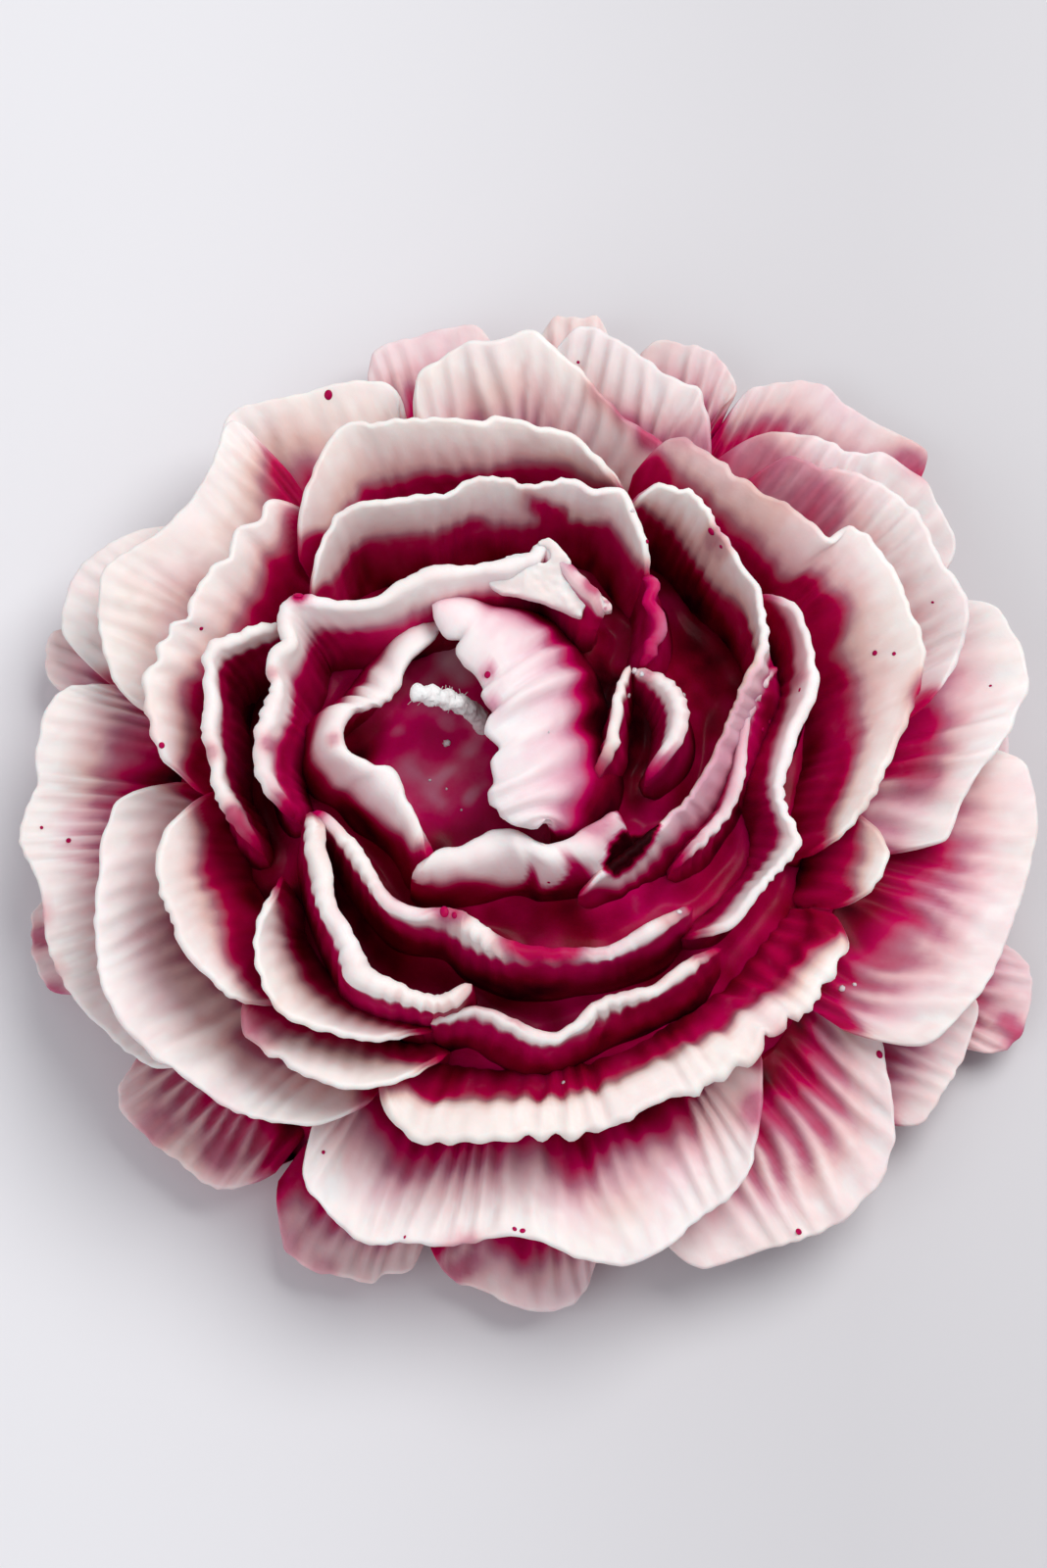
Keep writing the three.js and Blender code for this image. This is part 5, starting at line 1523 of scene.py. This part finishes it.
# %% The wick
WICK_AROUND, WICK_RINGS = 56, 130
WICK_STEP = 0.01
WICK_MERGE_DISTANCE = 0.00002
ACROSS_WICK = (0, 1, 0.2)
FIBRES, FIBRE_SEED, FIBRE_SIDES = 34, 31, 5
FIBRE_RADIUS, FIBRE_LIFT, FIBRE_SLANT = 0.045, 0.3, 0.3
FIBRE_LENGTHS = (0.5, 1.2)
KNEE_SHARES, TIP_SHARES = (0.5, 0.66), (0.62, 1.0)


def add_fibres(piece):
    rng = np.random.default_rng(FIBRE_SEED)
    fibres = []
    for number in range(FIBRES):
        share = np.array([rng.uniform(*(TIP_SHARES if number % 2 else KNEE_SHARES))])
        turn = rng.uniform(0, 2 * math.pi)
        slant = FIBRE_SLANT * rng.uniform(-1, 1)
        out = Vector((slant, math.cos(turn), math.sin(turn))).normalized()
        lie = (out + Vector(rng.uniform(-1, 1, 3))).normalized()
        place = Vector(wick_path(share)[0] + axis_point) + out * WICK_RADIUS + lie * FIBRE_LIFT
        bpy.ops.mesh.primitive_cylinder_add(
            vertices=FIBRE_SIDES, radius=FIBRE_RADIUS * MM, depth=rng.uniform(*FIBRE_LENGTHS) * MM,
            location=place * MM, rotation=lie.to_track_quat("Z", "Y").to_euler(),
        )
        fibres.append(bpy.context.object)
    join_all([piece, *fibres])


def build_wick():
    start_clean()
    bpy.ops.mesh.primitive_grid_add(x_subdivisions=WICK_AROUND, y_subdivisions=WICK_RINGS, size=2)
    piece = new_piece("wick_braid")
    flat = get_places(piece)
    angle = (flat[:, 0] + 1) * math.pi
    share = (flat[:, 1] + 1) / 2
    ahead = np.minimum(share + WICK_STEP, 1)
    tangent = wick_path(ahead) - wick_path(ahead - 2 * WICK_STEP)
    tangent /= np.linalg.norm(tangent, axis=1, keepdims=True)
    side = np.cross(tangent, ACROSS_WICK)
    side /= np.linalg.norm(side, axis=1, keepdims=True)
    other = np.cross(tangent, side)
    radius = wick_radius(angle, share)
    places = wick_path(share) + side * (radius * np.cos(angle))[:, None]
    places = places + other * (radius * np.sin(angle))[:, None]
    set_places(piece, (places + axis_point) * MM)
    in_edit_mode(
        piece,
        lambda: bpy.ops.mesh.remove_doubles(threshold=WICK_MERGE_DISTANCE),
        lambda: bpy.ops.mesh.select_all(action="DESELECT"),
        lambda: bpy.ops.mesh.select_non_manifold(),
        lambda: bpy.ops.mesh.edge_face_add(),
        recalculate_normals,
    )
    add_fibres(piece)
    return finish_piece(piece, cotton, "wick")


wick = build_wick()
print("wick with", len(wick.data.polygons), "faces")

# %% [markdown]
# The sustainer is a small tinned plate under the candle, pressed round the wick. Nothing of it
# shows, so it keeps its shape from the CAD model and only gets its metal.

# %% The sustainer's tinned steel
STEEL_SCUFFS = (900, 4.0, 0.6)
STEEL_TONES = [(0.35, (0.42, 0.43, 0.44)), (0.65, (0.62, 0.63, 0.65))]


def steel_material():
    material, tree, place = new_material("tinned_steel")
    scuff = add_noise(tree, place, *STEEL_SCUFFS)
    shade_with(tree, {
        "Base Color": add_ramp(tree, scuff, STEEL_TONES),
        "Roughness": add_range(tree, scuff, to=(0.28, 0.5)),
        "Metallic": 1.0,
    })
    return material


sustainer = nodes["wick_sustainer"]
sustainer.data.materials.clear()
sustainer.data.materials.append(steel_material())
print("sustainer keeps its CAD shape")

# %% [markdown]
# ## The table and the light
#
# The candle lies on a pale, faintly glossy table, whose colour is painted lighter on the left and
# darker on the right as a painted fall-off of the light. A wide soft lamp stands to the right and
# behind, so the right sides of the hollows are shaded and a soft shadow falls to the left and the
# front. A weaker, cooler lamp across from it keeps the shadows open, and the world adds a faint cool
# light.

# %% The table
TABLE_SIZE = 4
# The table is painted lighter on the left and darker on the right: a painted fall-off of the light.
TABLE_FALLOFF_CHANGE = (-0.07, 0.07)
TABLE_CLOUD, TABLE_CLOUDING = (6, 2.0, 0.5), 0.2
TABLE_FALLOFF_TONES = [(0.1, (0.80, 0.80, 0.83)), (1.1, (0.61, 0.605, 0.63))]


def build_table():
    start_clean()
    bpy.ops.mesh.primitive_plane_add(size=TABLE_SIZE, location=(0, 0, 0))
    piece = new_piece("table")
    material, tree, place = new_material("table_top")
    cloud = add_noise(tree, place, *TABLE_CLOUD)
    across = add(tree, "ShaderNodeSeparateXYZ", {"Vector": place}).outputs["X"]
    # Painted fall-off of the light: the table darkens towards the right.
    side = add_range(tree, across, TABLE_FALLOFF_CHANGE, interpolation_type="SMOOTHSTEP")
    mixed = add_math(tree, "ADD", side, add_math(tree, "MULTIPLY", cloud, TABLE_CLOUDING))
    shade_with(tree, {"Base Color": add_ramp(tree, mixed, TABLE_FALLOFF_TONES), "Roughness": 0.45})
    piece.data.materials.append(material)
    piece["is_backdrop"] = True
    return piece


print(build_table().name, "is", TABLE_SIZE, "m wide")

# %% The lamps and the world
LAMPS = {
    "key_lamp": {
        "place": (0.42, 0.36, 0.92), "size": 0.75, "watts": 8.4, "colour": (1.0, 0.985, 0.97),
    },
    "fill_lamp": {
        "place": (-0.55, -0.45, 0.9), "size": 0.9, "watts": 3.3, "colour": (0.97, 0.98, 1.0),
    },
}
LAMP_TARGET = (0, 0, 0.02)
WORLD_COLOUR = (0.94, 0.95, 1.0, 1)
WORLD_STRENGTH = 0.36


def add_lamp(name, place, size, watts, colour):
    data = bpy.data.lights.new(name, "AREA")
    data.shape = "DISK"
    data.size = size
    data.energy = watts
    data.color = colour
    lamp = bpy.data.objects.new(name, data)
    lamp.location = place
    away = Vector(place) - Vector(LAMP_TARGET)
    lamp.rotation_euler = away.to_track_quat("Z", "Y").to_euler()
    bpy.context.scene.collection.objects.link(lamp)


for name, settings in LAMPS.items():
    add_lamp(name, **settings)
world = bpy.data.worlds.new("studio")
bpy.context.scene.world = world
world.use_nodes = True
background = world.node_tree.nodes["Background"]
feed(world.node_tree, background, {"Color": WORLD_COLOUR, "Strength": WORLD_STRENGTH})
bpy.context.scene.view_settings.view_transform = "Standard"

# %% [markdown]
# ## Measure
#
# Both boxes, the CAD model's and the dressed candle's, are printed side by side. The dressed
# candle has to stay the size of the CAD model.

# %% Print the sizes
start_clean()
dressed_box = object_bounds()
boxes = {
    "cad": [list(corner) for corner in cad_box],
    "visual": [list(corner) for corner in dressed_box],
}
for name, box in boxes.items():
    print(name, [[round(value / MM, 1) for value in corner] for corner in box])
